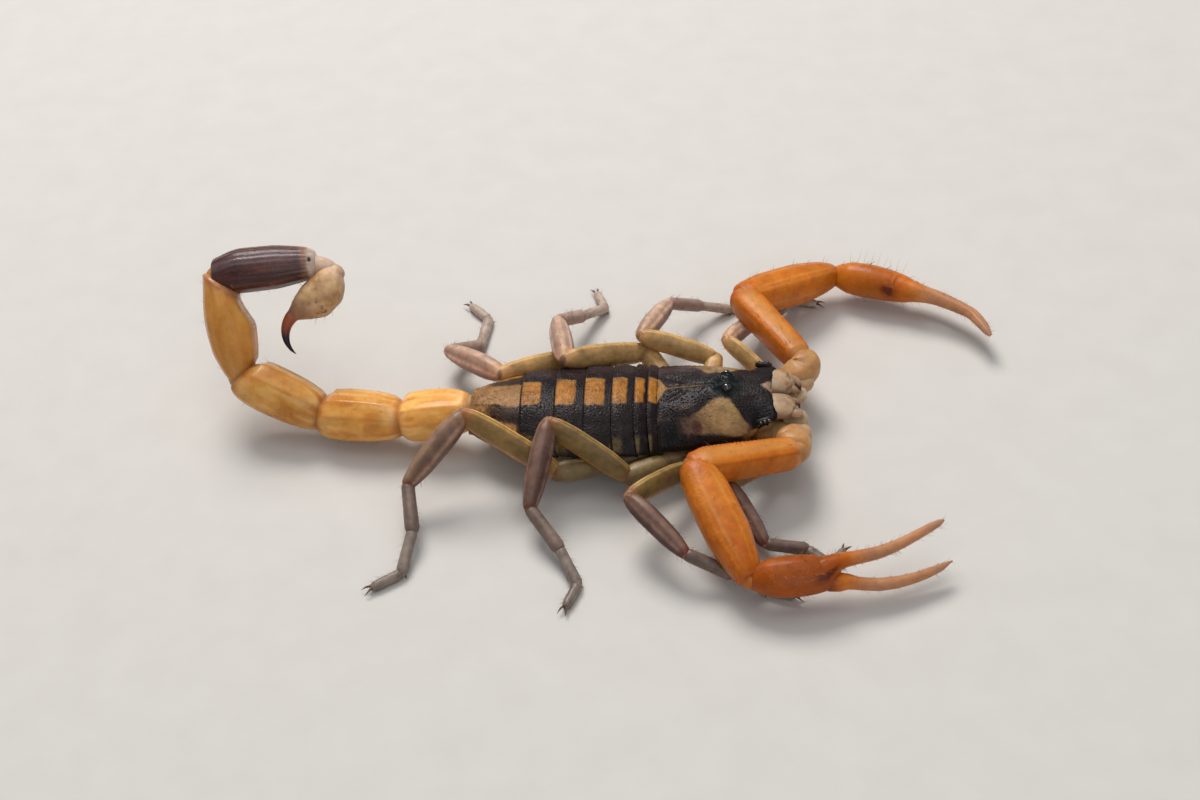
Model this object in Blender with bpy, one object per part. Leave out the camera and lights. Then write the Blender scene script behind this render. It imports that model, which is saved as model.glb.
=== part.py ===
"""A small desert scorpion, life size, standing alert: pedipalps reaching
forward, metasoma swung out low behind and hooked up over its left side.

Units are metres, +Z up, +X towards the head, +Y towards the animal's left.
Working dimensions below are in millimetres and are scaled once, on output.
"""
import bpy
import bmesh
from math import sin, cos, radians, pi, sqrt
from mathutils import Vector, Matrix

MM = 0.001
GAP = 0.12            # the thin cut that parts neighbouring plates, mm
CENTRE = (-0.6132, 0.1966)   # middle of the standing animal on the floor, mm

# ----------------------------------------------------------------------
# Driving dimensions, mm
# ----------------------------------------------------------------------
CARAPACE_REAR, CARAPACE_FRONT = 3.50, 10.55
# rear edge of each tergite, I to VII, along the back
TERGITE_REAR = (2.85, 2.05, 0.70, -0.95, -2.70, -4.75, -7.75)

# leg podomeres: trochanter, femur, patella, tibia, basitarsus, telotarsus
LEG_LENGTHS = {
    1: (1.65, 3.5, 4.2, 2.4, 1.8, 1.5),
    2: (1.9, 4.8, 4.7, 2.8, 2.2, 1.7),
    3: (2.4, 5.7, 5.1, 3.1, 2.5, 1.8),
    4: (2.9, 6.5, 5.3, 3.0, 2.7, 2.0),
}
# outer end of each coxa, where the leg proper starts
COXA_END = {1: (8.8, 2.6, 1.75), 2: (6.4, 3.1, 1.9), 3: (3.9, 3.6, 1.8), 4: (0.3, 3.5, 1.6)}
# half thickness of leg pieces: root, trochanter, femur, knee, patella, tibia,
# foot; the femur and patella are deeper than they are wide
LEG_RADII = {
    1: (0.48, 0.50, 0.56, 0.46, 0.50, 0.38, 0.31),
    2: (0.54, 0.56, 0.62, 0.50, 0.55, 0.41, 0.32),
    3: (0.60, 0.62, 0.68, 0.54, 0.60, 0.43, 0.33),
    4: (0.62, 0.64, 0.69, 0.57, 0.62, 0.45, 0.34),
}
FEMUR_FLAT, PATELLA_FLAT = 0.78, 0.82     # width against depth
# pose of each leg: (heading, pitch) per podomere in degrees; heading 0 is
# forward, 90 straight out from the body, 180 rearward; pitch is up from level
POSE = {
    "R1": ((38, 2), (136, 10), (58, -20), (0, -11), (39, -15), (-60, 0)),
    "R2": ((128, 10), (134, 14), (45, -15), (14, -21), (14, -18), (14, 0)),
    "R3": ((152, 0), (197, 33), (105, -36), (52, -17), (62, -11), (111, 0)),
    "R4": ((161, 6), (196, 31), (142, -36), (80, -18), (100, -15), (146, 0)),
    "L1": ((42, 4), (136, 15), (63, -20), (44, -15), (55, -10), (-12, 0)),
    "L2": ((75, 12), (173, 18), (70, -13), (36, -31), (20, -20), (20, 0)),
    "L3": ((124, 12), (207, 18), (100, -13), (60, -31), (54, -15), (112, 0)),
    "L4": ((112, -2), (210, 13), (137, -13), (50, -29), (84, -11), (133, 0)),
}
FOOT_LEVEL = 0.30     # centre of the foot's end above the floor

# pedipalps: trochanter, femur, patella, chela (to the finger tips)
PALP_LENGTHS = (1.9, 6.4, 7.5, 11.4)
PALP_ROOT = (11.0, 2.45, 2.55)
PALP_POSE = {
    "R": ((70, 17), (158, 11), (65, -17), (-14, -1)),
    "L": ((53, 16), (123, 3), (36, -13), (-34, 0)),
}
PALP_KNEE = {"R": (11.65, 3.05, 2.85), "L": (12.75, 2.95, 2.95)}   # bend of the trochanter
HAND_PART = 0.42                      # share of the chela that is palm
# outward curve of palm and fingers: (share of the length, offset)
CHELA_BOW = {
    "R": ((0.0, 0.0), (0.25, 0.45), (0.42, 0.62), (0.62, 0.58), (0.80, 0.35), (1.0, 0.0)),
    "L": ((0.0, 0.0), (0.25, 0.80), (0.42, 1.20), (0.62, 1.58), (0.80, 1.45), (0.92, 0.80), (1.0, 0.15)),
}
# fixed and movable finger: (beyond the palm, offset to the outer side)
FINGER_PATH = {
    "R": (((0.40, -0.46), (2.0, -0.62), (3.8, -0.78), (5.2, -1.05), (6.1, -1.22), (6.6, -1.32)),
          ((0.42, 0.60), (1.0, 0.80), (2.4, 1.12), (4.2, 1.26), (5.7, 1.16), (6.5, 1.00))),
    "L": (((0.40, -0.46), (2.0, -0.45), (3.8, -0.39), (5.2, -0.31), (6.1, -0.25), (6.6, -0.20)),
          ((0.42, 0.54), (1.0, 0.54), (2.4, 0.44), (4.2, 0.36), (5.6, 0.32), (6.4, 0.27))),
}

# tail: the joints between its rings are set by heading and pitch as well;
# heading 180 is straight back, less than that swings to the animal's left
TAIL_ROOT = (-7.90, 0.0, 2.80)
TAIL_LENGTHS = (4.30, 5.15, 5.40, 6.60, 6.70)
TAIL_POSE = ((179, -9), (172, -2), (163, 20), (119, 48), (7, 1))
TAIL_LEAN = (5, 20, 38, 47, 47)       # how far the upper side leans left
TAIL_HALF = (1.52, 1.60, 1.60, 1.53, 1.42)
TELSON_LENGTH, TELSON_HALF = 3.85, 1.20
TELSON_AT = (1.30, 0.66)              # its joint beyond the last ring and above its middle
TELSON_FOLD = 139                     # turn of the telson at its joint


# ----------------------------------------------------------------------
# Helpers
# ----------------------------------------------------------------------
def direction(heading, pitch, side=1):
    h, p = radians(heading), radians(pitch)
    return Vector((cos(h) * cos(p), side * sin(h) * cos(p), sin(p)))


def frame(d, up=Vector((0, 0, 1))):
    """Side and up vectors square to direction d."""
    s = d.cross(up)
    if s.length < 1e-3:
        s = d.cross(Vector((1, 0, 0)))
    s.normalize()
    return s, s.cross(d).normalized()


def ring(c, s, u, w, h, n=8, power=2.0, drop=1.0):
    """Superellipse ring: half width w along s, half height h along u."""
    out = []
    for i in range(n):
        a = 2 * pi * (i + 0.5) / n
        ca, sa = cos(a), sin(a)
        k = (abs(ca) ** power + abs(sa) ** power) ** (-1 / power)
        hh = h if sa > 0 else h * drop
        out.append(c + s * (w * k * ca) + u * (hh * k * sa))
    return out


def loft(rings):
    """Closed body from rings of equal count; a single point closes an end."""
    bm = bmesh.new()
    rows = [[bm.verts.new(p) for p in r] for r in rings]
    n = max(len(r) for r in rows)
    for a, b in zip(rows[:-1], rows[1:]):
        for i in range(n):
            j = (i + 1) % n
            if len(a) == 1:
                bm.faces.new((a[0], b[i], b[j]))
            elif len(b) == 1:
                bm.faces.new((a[i], a[j], b[0]))
            else:
                bm.faces.new((a[i], a[j], b[j], b[i]))
    if len(rows[0]) > 1:
        bm.faces.new(rows[0][::-1])
    if len(rows[-1]) > 1:
        bm.faces.new(rows[-1])
    bmesh.ops.recalc_face_normals(bm, faces=bm.faces)
    return bm


def cut(bm, point, normal):
    """Keep what lies behind the plane, and close the cut with one flat face."""
    geom = bm.verts[:] + bm.edges[:] + bm.faces[:]
    res = bmesh.ops.bisect_plane(bm, geom=geom, dist=1e-5, plane_co=point,
                                 plane_no=normal, clear_outer=True)
    bmesh.ops.remove_doubles(bm, verts=bm.verts, dist=0.02)
    edges = [e for e in bm.edges if e.is_boundary]
    if edges:
        bmesh.ops.contextual_create(bm, geom=edges)
    bmesh.ops.recalc_face_normals(bm, faces=bm.faces)


def tidy(bm):
    """Merge points closer than a working tolerance and drop what collapses."""
    bmesh.ops.remove_doubles(bm, verts=bm.verts, dist=0.02)
    bmesh.ops.dissolve_degenerate(bm, edges=bm.edges, dist=0.01)
    bmesh.ops.recalc_face_normals(bm, faces=bm.faces)


MATERIALS = {}


def material(name, colour, rough):
    if name not in MATERIALS:
        m = bpy.data.materials.new(name)
        m.use_nodes = True
        b = m.node_tree.nodes["Principled BSDF"]
        b.inputs["Base Color"].default_value = (*colour, 1)
        b.inputs["Roughness"].default_value = rough
        b.inputs["Metallic"].default_value = 0.0
        MATERIALS[name] = m
    return MATERIALS[name]


AMBER = ("amber_cuticle", (0.72, 0.33, 0.07), 0.35)
ORANGE = ("orange_cuticle", (0.80, 0.27, 0.04), 0.33)
DARK = ("dark_cuticle", (0.055, 0.035, 0.035), 0.42)
MAROON = ("maroon_cuticle", (0.10, 0.03, 0.035), 0.35)
OLIVE = ("olive_cuticle", (0.42, 0.34, 0.17), 0.40)
MAUVE = ("mauve_cuticle", (0.36, 0.23, 0.19), 0.40)
CREAM = ("cream_cuticle", (0.74, 0.55, 0.40), 0.35)
EYE = ("eye_lens", (0.005, 0.006, 0.006), 0.05)
STING = ("sting_cuticle", (0.12, 0.02, 0.01), 0.25)


def emit(name, bm, mat):
    tidy(bm)
    for v in bm.verts:
        v.co = Vector(((v.co.x - CENTRE[0]) * MM, (v.co.y - CENTRE[1]) * MM, v.co.z * MM))
    me = bpy.data.meshes.new(name)
    bm.to_mesh(me)
    bm.free()
    ob = bpy.data.objects.new(name, me)
    me.materials.append(material(*mat))
    me.shade_smooth()
    me.set_sharp_from_angle(angle=radians(50))
    bpy.context.scene.collection.objects.link(ob)
    ob.parent = ROOT
    return ob


def tube(points, stations, n=8, start_round=True, end_round=True, up=Vector((0, 0, 1)), power=2.0):
    """Swept body along straight runs. stations: per run, a list of
    (fraction along the run, half width, half height). Bends are mitred.
    Rounded ends reach one half width past the first and last point."""
    dirs = [(b - a).normalized() for a, b in zip(points[:-1], points[1:])]
    rings = []
    for k, d in enumerate(dirs):
        s, u = frame(d, up)
        a, b = points[k], points[k + 1]
        run = (b - a).length
        for f, w, h in stations[k]:
            c = a.lerp(b, f)
            if k == 0 and f == 0.0 and start_round:
                rings.append([c - d * w])
                rings.append(ring(c - d * w * 0.80, s, u, w * 0.58, h * 0.58, n, power))
                rings.append(ring(c - d * w * 0.35, s, u, w * 0.93, h * 0.93, n, power))
                continue
            if f == 1.0 and k < len(dirs) - 1:
                # mitred ring shared with the next run
                nd = dirs[k + 1]
                pl = (d + nd).normalized()
                base = ring(c, s, u, w, h, n, power)
                rings.append([p + d * (-(p - c).dot(pl) / d.dot(pl)) for p in base])
                continue
            if k == len(dirs) - 1 and f == 1.0 and end_round:
                rings.append(ring(c, s, u, w, h, n, power))
                rings.append(ring(c + d * w * 0.55, s, u, w * 0.84, h * 0.84, n, power))
                rings.append(ring(c + d * w * 0.88, s, u, w * 0.48, h * 0.48, n, power))
                rings.append([c + d * w])
                continue
            rings.append(ring(c, s, u, w, h, n, power))
    return loft(rings)


def half_plane(d_in, d_out):
    return (d_in + d_out).normalized()


# ----------------------------------------------------------------------
# The model
# ----------------------------------------------------------------------
for ob in list(bpy.data.objects):
    bpy.data.objects.remove(ob, do_unlink=True)

ROOT = bpy.data.objects.new("scorpion_root", None)
bpy.context.scene.collection.objects.link(ROOT)


def lerp_table(table, x):
    """Linear read of a table of rows (x, a, b, ...), x falling or rising."""
    rows = sorted(table)
    if x <= rows[0][0]:
        return rows[0][1:]
    for a, b in zip(rows[:-1], rows[1:]):
        if x <= b[0]:
            t = (x - a[0]) / (b[0] - a[0])
            return tuple(p + (q - p) * t for p, q in zip(a[1:], b[1:]))
    return rows[-1][1:]


# --- mesosoma: x, half width, crown height, edge height,
#     shoulder of the belly (half width, height), belly (half width, height)
TRUNK = (
    (3.50, 3.62, 4.36, 2.70, 1.05, 2.56, 0.90, 1.35),
    (2.85, 3.72, 4.38, 2.68, 1.30, 2.54, 1.12, 1.28),
    (2.05, 3.80, 4.38, 2.64, 1.62, 2.50, 1.42, 1.20),
    (0.70, 3.84, 4.35, 2.58, 2.22, 2.44, 1.95, 1.10),
    (-0.95, 3.80, 4.32, 2.54, 3.20, 2.00, 2.65, 1.02),
    (-2.70, 3.66, 4.26, 2.52, 3.15, 1.95, 2.60, 1.02),
    (-4.75, 3.22, 4.18, 2.56, 2.80, 1.90, 2.25, 1.08),
    (-6.30, 2.44, 4.06, 2.56, 2.20, 1.90, 1.70, 1.28),
    (-7.75, 1.52, 3.90, 2.62, 1.35, 2.10, 1.00, 1.62),
)


def trunk_ring(x, swell=0.0):
    w, zt, ze, ws, zs, wb, zb = lerp_table(TRUNK, x)
    w += swell
    half = [(w * 0.34, zt - (zt - ze) * 0.09), (w * 0.64, zt - (zt - ze) * 0.32),
            (w * 0.88, zt - (zt - ze) * 0.66), (w, ze), (ws, zs), (wb, zb)]
    pts = [Vector((x, 0, zt))] + [Vector((x, y, z)) for y, z in half]
    pts += [Vector((x, 0, zb))]
    pts += [Vector((x, -y, z)) for y, z in half[::-1]]
    return pts


front = CARAPACE_REAR
for i, rear in enumerate(TERGITE_REAR):
    a, b = front - GAP / 2, rear + GAP / 2
    span = a - b
    xs = [a, a - span * 0.55, b] if i < 6 else [a, a - span * 0.3, a - span * 0.65, b]
    rings = [trunk_ring(x, 0.03 if 0 < k < len(xs) - 1 else 0.0) for k, x in enumerate(xs)]
    emit("mesosoma_%d" % (i + 1), loft(rings), DARK if i < 6 else OLIVE)
    front = rear

# --- carapace: x, half width, crown height, edge height, underside height
SHELL = (
    (3.56, 3.58, 4.36, 2.72, 2.58),
    (5.00, 3.52, 4.58, 2.72, 2.58),
    (6.60, 3.30, 4.72, 2.76, 2.60),
    (7.60, 3.10, 4.76, 2.80, 2.62),
    (8.90, 2.72, 4.66, 2.92, 2.66),
    (9.60, 2.56, 4.60, 3.62, 3.16),
    (10.55, 2.32, 4.44, 4.08, 3.84),
)
FRONT_NOTCH = 0.42      # how far the middle of the front margin lies back
TUBERCLE_AT, TUBERCLE_RISE = 7.62, 0.36


def shell_ring(x):
    w, zt, ze, zb = lerp_table(SHELL, x)
    t = max(0.0, 1 - abs(x - TUBERCLE_AT) / 1.05)
    rise = TUBERCLE_RISE * min(1.0, 1.6 * t)
    half = [(0.42, zt - 0.02 + rise), (0.80, zt - 0.06), (w * 0.52, zt - (zt - ze) * 0.20),
            (w * 0.82, zt - (zt - ze) * 0.50), (w, ze), (w * 0.93, zb)]
    pts = [Vector((x, 0, zt + rise))] + [Vector((x, y, z)) for y, z in half]
    pts += [Vector((x, 0, zb))]
    pts += [Vector((x, -y, z)) for y, z in half[::-1]]
    if x > CARAPACE_FRONT - 0.01:
        for p in pts:
            p.x -= FRONT_NOTCH * max(0.0, 1 - abs(p.y) / (w * 0.85))
    return pts


xs = (3.56, 5.0, 6.55, 7.05, 8.20, 8.70, 9.60, 10.20, 10.55)
emit("carapace", loft([shell_ring(x) for x in xs]), DARK)

# --- median eyes: domes on the flanks of the tubercle
for side, tag in ((-1, "R"), (1, "L")):
    n = Vector((0.12, side * 0.86, 0.48)).normalized()
    base = Vector((TUBERCLE_AT, side * 0.64, 5.00)) + n * 0.03
    s = n.cross(Vector((0, 0, 1))).normalized()
    u = s.cross(n)
    r = 0.25
    rings = [ring(base, s, u, r, r, 8), ring(base + n * r * 0.5, s, u, r * 0.86, r * 0.86, 8),
             ring(base + n * r * 0.86, s, u, r * 0.5, r * 0.5, 8), [base + n * r]]
    emit("eye_median_" + tag, loft(rings), EYE)

# --- lateral eyes: a short row on each front corner, one low ridge per side
for side, tag in ((-1, "R"), (1, "L")):
    c = Vector((9.85, side * 2.68, 3.95))
    d = Vector((1.0, -side * 0.24, 0.10)).normalized()
    s, u = frame(d)
    rings = [ring(c + d * t, s, u, 0.14 * k, 0.20 * k, 6) for t, k in
             ((-0.42, 0.55), (-0.22, 0.95), (0.0, 1.0), (0.22, 0.95), (0.42, 0.55))]
    emit("eyes_lateral_" + tag, loft(rings), EYE)

# --- chelicerae: short stout pincers in front of the carapace
for side, tag in ((-1, "R"), (1, "L")):
    rows = ((CARAPACE_FRONT + GAP, 1.00, 0.86, 0.42, 3.78), (10.95, 1.04, 0.92, 0.52, 3.82),
            (11.45, 1.02, 0.88, 0.50, 3.78), (11.85, 0.95, 0.62, 0.40, 3.66),
            (12.15, 0.90, 0.32, 0.25, 3.56))
    rings = [ring(Vector((x, side * y, z)), Vector((0, 1, 0)), Vector((0, 0, 1)), w, h, 10, 2.4)
             for x, y, w, h, z in rows]
    emit("chelicera_" + tag, loft(rings), CREAM)


# --- coxosternum: the underside of the head part with the roots of all the
#     limbs, one plate whose outline is walked round the limb roots
def coxa_root(n):
    x, y, z = COXA_END[n]
    return Vector((x, y))


def arm(n, aim, half):
    """Three outline points round the end of one root, and its end direction."""
    e = Vector((COXA_END[n][0], COXA_END[n][1]))
    d = (e - Vector(aim)).normalized()
    q = Vector((d.y, -d.x))
    return e + q * half, e - q * half, d


ARM_AIM = {1: (8.6, 0.4), 2: (7.6, 0.6), 3: (7.2, 0.6), 4: (6.6, 0.9)}
ARM_HALF = {1: 0.55, 2: 0.60, 3: 0.64, 4: 0.58}
PALP_AIM, PALP_ARM_HALF = (9.4, 0.9), 0.72


def plate_outline():
    pts = [Vector((11.6, 0.12)), Vector((11.75, 0.9))]
    e = Vector(PALP_ROOT[:2])
    d = (e - Vector(PALP_AIM)).normalized()
    q = Vector((d.y, -d.x))
    pts += [e + q * PALP_ARM_HALF, e - q * PALP_ARM_HALF]
    for n in (1, 2, 3, 4):
        a, b, d = arm(n, ARM_AIM[n], ARM_HALF[n])
        inner = {1: Vector((9.60, 1.95)), 2: Vector((7.75, 2.05)), 3: Vector((5.65, 2.15)),
                 4: Vector((3.75, 2.62))}[n]
        pts += [inner, a, b]
    pts += [Vector((3.62, 1.30)), Vector((3.74, 0.0))]
    return pts


def coxa_plate():
    half = plate_outline()
    outline = half + [Vector((p.x, -p.y)) for p in half[::-1] if abs(p.y) > 1e-6]
    bm = bmesh.new()

    def low(p):
        return 1.02 + 0.05 * max(0.0, p.x - 4.0) + (0.10 if abs(p.y) > 2.4 else 0.0)

    def high(p):
        rear = max(0.0, min(1.0, (3.75 - p.x) / 2.75))
        return 2.46 - 0.62 * rear + 0.20 * max(0.0, min(1.0, p.x - 9.0))

    # flat while its faces are divided, then set to height
    lo = [bm.verts.new((p.x, p.y, 0.0)) for p in outline]
    hi = [bm.verts.new((p.x, p.y, 2.0)) for p in outline]
    n = len(outline)
    bm.faces.new(lo)
    bm.faces.new(hi[::-1])
    for i in range(n):
        j = (i + 1) % n
        bm.faces.new((lo[i], lo[j], hi[j], hi[i]))
    bm.normal_update()
    bmesh.ops.triangulate(bm, faces=bm.faces)
    for p, a, b in zip(outline, lo, hi):
        a.co.z, b.co.z = low(p), high(p)
    bmesh.ops.recalc_face_normals(bm, faces=bm.faces)
    return bm


emit("coxosternum", coxa_plate(), OLIVE)

# --- pectines: the pair of combs behind the limb roots, lying along the belly
for side, tag in ((-1, "R"), (1, "L")):
    a, b = Vector((3.1, side * 0.35, 0.80)), Vector((0.9, side * 1.95, 0.66))
    d = (b - a).normalized()
    s, u = frame(d)
    rings = [ring(a.lerp(b, t), s, u, w, 0.26, 8, 3.0) for t, w in
             ((0.0, 0.40), (0.3, 0.50), (0.7, 0.46), (1.0, 0.30))]
    emit("pectine_" + tag, loft(rings), CREAM)

# --- tail rings
P = [Vector(TAIL_ROOT)]
D, S = [], []
for (h, p), length, lean in zip(TAIL_POSE, TAIL_LENGTHS, TAIL_LEAN):
    d = direction(h, p)
    D.append(d)
    P.append(P[-1] + d * length)
    s = Vector((0, cos(radians(lean)), -sin(radians(lean))))
    S.append((s - d * s.dot(d)).normalized())

# half size along each ring, as parts of its widest: narrow root, swelling
# behind the middle, a slight waist at the far end
RING_SHAPE = ((0.0, 0.74), (0.10, 0.84), (0.38, 0.97), (0.72, 1.0), (0.92, 0.92), (1.0, 0.84))
LAST_SHAPE = ((0.0, 0.70), (0.10, 0.84), (0.34, 1.0), (0.60, 0.98), (0.85, 0.80), (1.0, 0.64))

start_n = Vector((-1, 0, 0))
for k in range(5):
    d, s = D[k], S[k]
    u = s.cross(d)
    a, b = P[k], P[k + 1]
    r = TAIL_HALF[k]
    shape = RING_SHAPE if k < 4 else LAST_SHAPE
    rows = []
    if k > 0:
        rows.append(ring(a - d * r * 0.62, s, u, r * 0.40, r * 0.40, 10, 2.3))
        rows.append(ring(a - d * r * 0.35, s, u, r * 0.64, r * 0.62, 10, 2.3))
    for f, w in shape:
        rows.append(ring(a.lerp(b, f), s, u, r * w, r * w * 0.97, 10, 2.3))
    if k < 4:
        e = shape[-1][1]
        rows.append(ring(b + d * r * 0.40, s, u, r * e * 0.80, r * e * 0.80, 10, 2.3))
        rows.append(ring(b + d * r * 0.62, s, u, r * e * 0.45, r * e * 0.45, 10, 2.3))
    bm = loft(rows)
    n0 = Vector((1, 0, 0)) if k == 0 else -half_plane(D[k - 1], d)
    if k == 0:
        cut(bm, Vector((TERGITE_REAR[-1] - GAP / 2, 0, 0)), Vector((1, 0, 0)))
    else:
        cut(bm, a - n0 * GAP / 2, n0)
    if k < 4:
        n1 = half_plane(d, D[k + 1])
        cut(bm, b - n1 * GAP / 2, n1)
    for j, q in ((k, a), (k + 1, b)):       # blunt the outer corner of a sharp bend
        if 0 < j < 5 and D[j - 1].angle(D[j]) > radians(50):
            o = (D[j - 1] - D[j]).normalized()
            cut(bm, q + o * TAIL_HALF[3] * 0.42, o)
    emit("metasoma_%d" % (k + 1), bm, MAROON if k == 4 else AMBER)

# --- telson: bulb folded back under the last ring, and its sting
dv, sv = D[4], S[4]
uv = sv.cross(dv)
fold = radians(TELSON_FOLD)
dt = (dv * cos(fold) + uv * sin(fold)).normalized()
ut = sv.cross(dt)
J = P[5] + dv * TELSON_AT[0] + uv * TELSON_AT[1]
rows = []
for f, w, lift in ((0.0, 0.36, 0.0), (0.10, 0.62, -0.10), (0.32, 0.96, -0.22), (0.58, 1.0, -0.22),
                   (0.82, 0.72, -0.08), (1.0, 0.38, 0.10)):
    rows.append(ring(J + dt * (TELSON_LENGTH * f) + ut * (lift * TELSON_HALF), sv, ut,
                     TELSON_HALF * w * 0.92, TELSON_HALF * w, 10))
TIP_IN = J + dt * TELSON_LENGTH + ut * (0.10 * TELSON_HALF)
emit("telson_vesicle", loft(rows), CREAM)

# the sting leaves the bulb along its axis and bends to the under side
rows = []
STING_ARC, STING_RADIUS = 98, 1.50
c = TIP_IN + dt * GAP
for i in range(7):
    t = i / 6
    a = radians(STING_ARC) * t
    p = c + dt * (STING_RADIUS * sin(a)) - ut * (STING_RADIUS * (1 - cos(a)))
    tn = dt * cos(a) - ut * sin(a)
    un = ut * cos(a) + dt * sin(a)
    r = 0.40 * (1 - t) + 0.14 * t
    rows.append(ring(p, sv, un, r, r, 6))
rows.append([p + tn * 0.16])
emit("telson_sting", loft(rows), STING)

# --- pedipalps
for side, tag in ((-1, "R"), (1, "L")):
    pose = PALP_POSE[tag]
    root = Vector((PALP_ROOT[0], side * PALP_ROOT[1], PALP_ROOT[2]))
    pts = [root]
    ds = []
    for (h, p), length in zip(pose, PALP_LENGTHS):
        ds.append(direction(h, p, side))
        pts.append(pts[-1] + ds[-1] * length)
    arm_dir = Vector((PALP_ROOT[0] - PALP_AIM[0], side * (PALP_ROOT[1] - PALP_AIM[1]), 0)).normalized()
    # trochanter, a knee that swings out from the root and back to the femur
    x, y, z = PALP_KNEE[tag]
    knee = Vector((x, side * y, z))
    d0, d1 = (knee - root).normalized(), (pts[1] - knee).normalized()
    bm = tube([root - d0 * 0.3, knee, pts[1]],
              [[(0.0, 0.80, 0.76), (0.5, 0.92, 0.90), (1.0, 0.98, 0.96)],
               [(1.0, 0.86, 0.90)]], 10)
    cut(bm, root + arm_dir * GAP, -arm_dir)
    bend = (d0 - d1).normalized()
    cut(bm, knee + bend * 1.02, bend)
    n1 = half_plane(d1, ds[1])
    cut(bm, pts[1] - n1 * GAP / 2, n1)
    emit("pedipalp_%s_trochanter" % tag, bm, ORANGE)
    # femur
    bm = tube([pts[1], pts[2]], [[(0.0, 0.80, 0.84), (0.15, 0.84, 0.88), (0.5, 0.92, 0.92), (0.85, 1.0, 0.95), (1.0, 0.95, 0.9)]], 10)
    cut(bm, pts[1] + n1 * GAP / 2, -n1)
    n2 = half_plane(ds[1], ds[2])
    cut(bm, pts[2] - n2 * GAP / 2, n2)
    emit("pedipalp_%s_femur" % tag, bm, ORANGE)
    # patella
    bm = tube([pts[2], pts[3]], [[(0.0, 0.95, 0.88), (0.12, 1.20, 1.06), (0.35, 1.44, 1.18), (0.65, 1.38, 1.14), (0.9, 1.10, 0.98), (1.0, 0.80, 0.80)]], 10)
    cut(bm, pts[2] + n2 * GAP / 2, -n2)
    n3 = half_plane(ds[2], ds[3])
    cut(bm, pts[3] - n3 * GAP / 2, n3)
    emit("pedipalp_%s_patella" % tag, bm, ORANGE)
    # hand with the fixed finger; across runs from the fixed finger (inner,
    # upper) to the movable finger (outer, lower)
    d = ds[3]
    s, u = frame(d)
    s = s * (1 if s.y * side > 0 else -1)        # outward side
    u = Vector((0, 0, 1)) - d * d.z
    u.normalize()
    L = PALP_LENGTHS[3]
    hand = HAND_PART * L
    across = (s * 0.80 - u * 0.60).normalized()
    flat = d.cross(across).normalized()
    a = pts[3]
    bow = CHELA_BOW[tag]

    def row(t, w, h, off=0.0, n=10, pw=2.2):
        return ring(a + d * t + s * lerp_table(bow, t / L)[0] + across * off, across, flat, w, h, n, pw)
    fixed, moving = FINGER_PATH[tag]
    rows = [row(-0.45, 0.42, 0.42), row(0.0, 0.72, 0.72), row(0.9, 1.10, 1.03), row(2.2, 1.22, 1.10),
            row(3.6, 1.14, 1.02), row(hand, 0.98, 0.88)]
    for (t, off), w in zip(fixed, (0.46, 0.36, 0.33, 0.30, 0.24, 0.14)):
        rows.append(row(hand + t, w, w * 1.05 + (0.20 if t < 1 else 0.0), off))
    bm = loft(rows)
    cut(bm, pts[3] + n3 * GAP / 2, -n3)
    emit("pedipalp_%s_hand" % tag, bm, ORANGE)
    # movable finger, hinged on the outer lower side of the hand
    rows = [row(hand + t, w * 0.9, w * 1.08, off, 8, 2.0)
            for (t, off), w in zip(moving, (0.34, 0.40, 0.36, 0.32, 0.25, 0.14))]
    emit("pedipalp_%s_finger" % tag, loft(rows), ORANGE)

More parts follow.
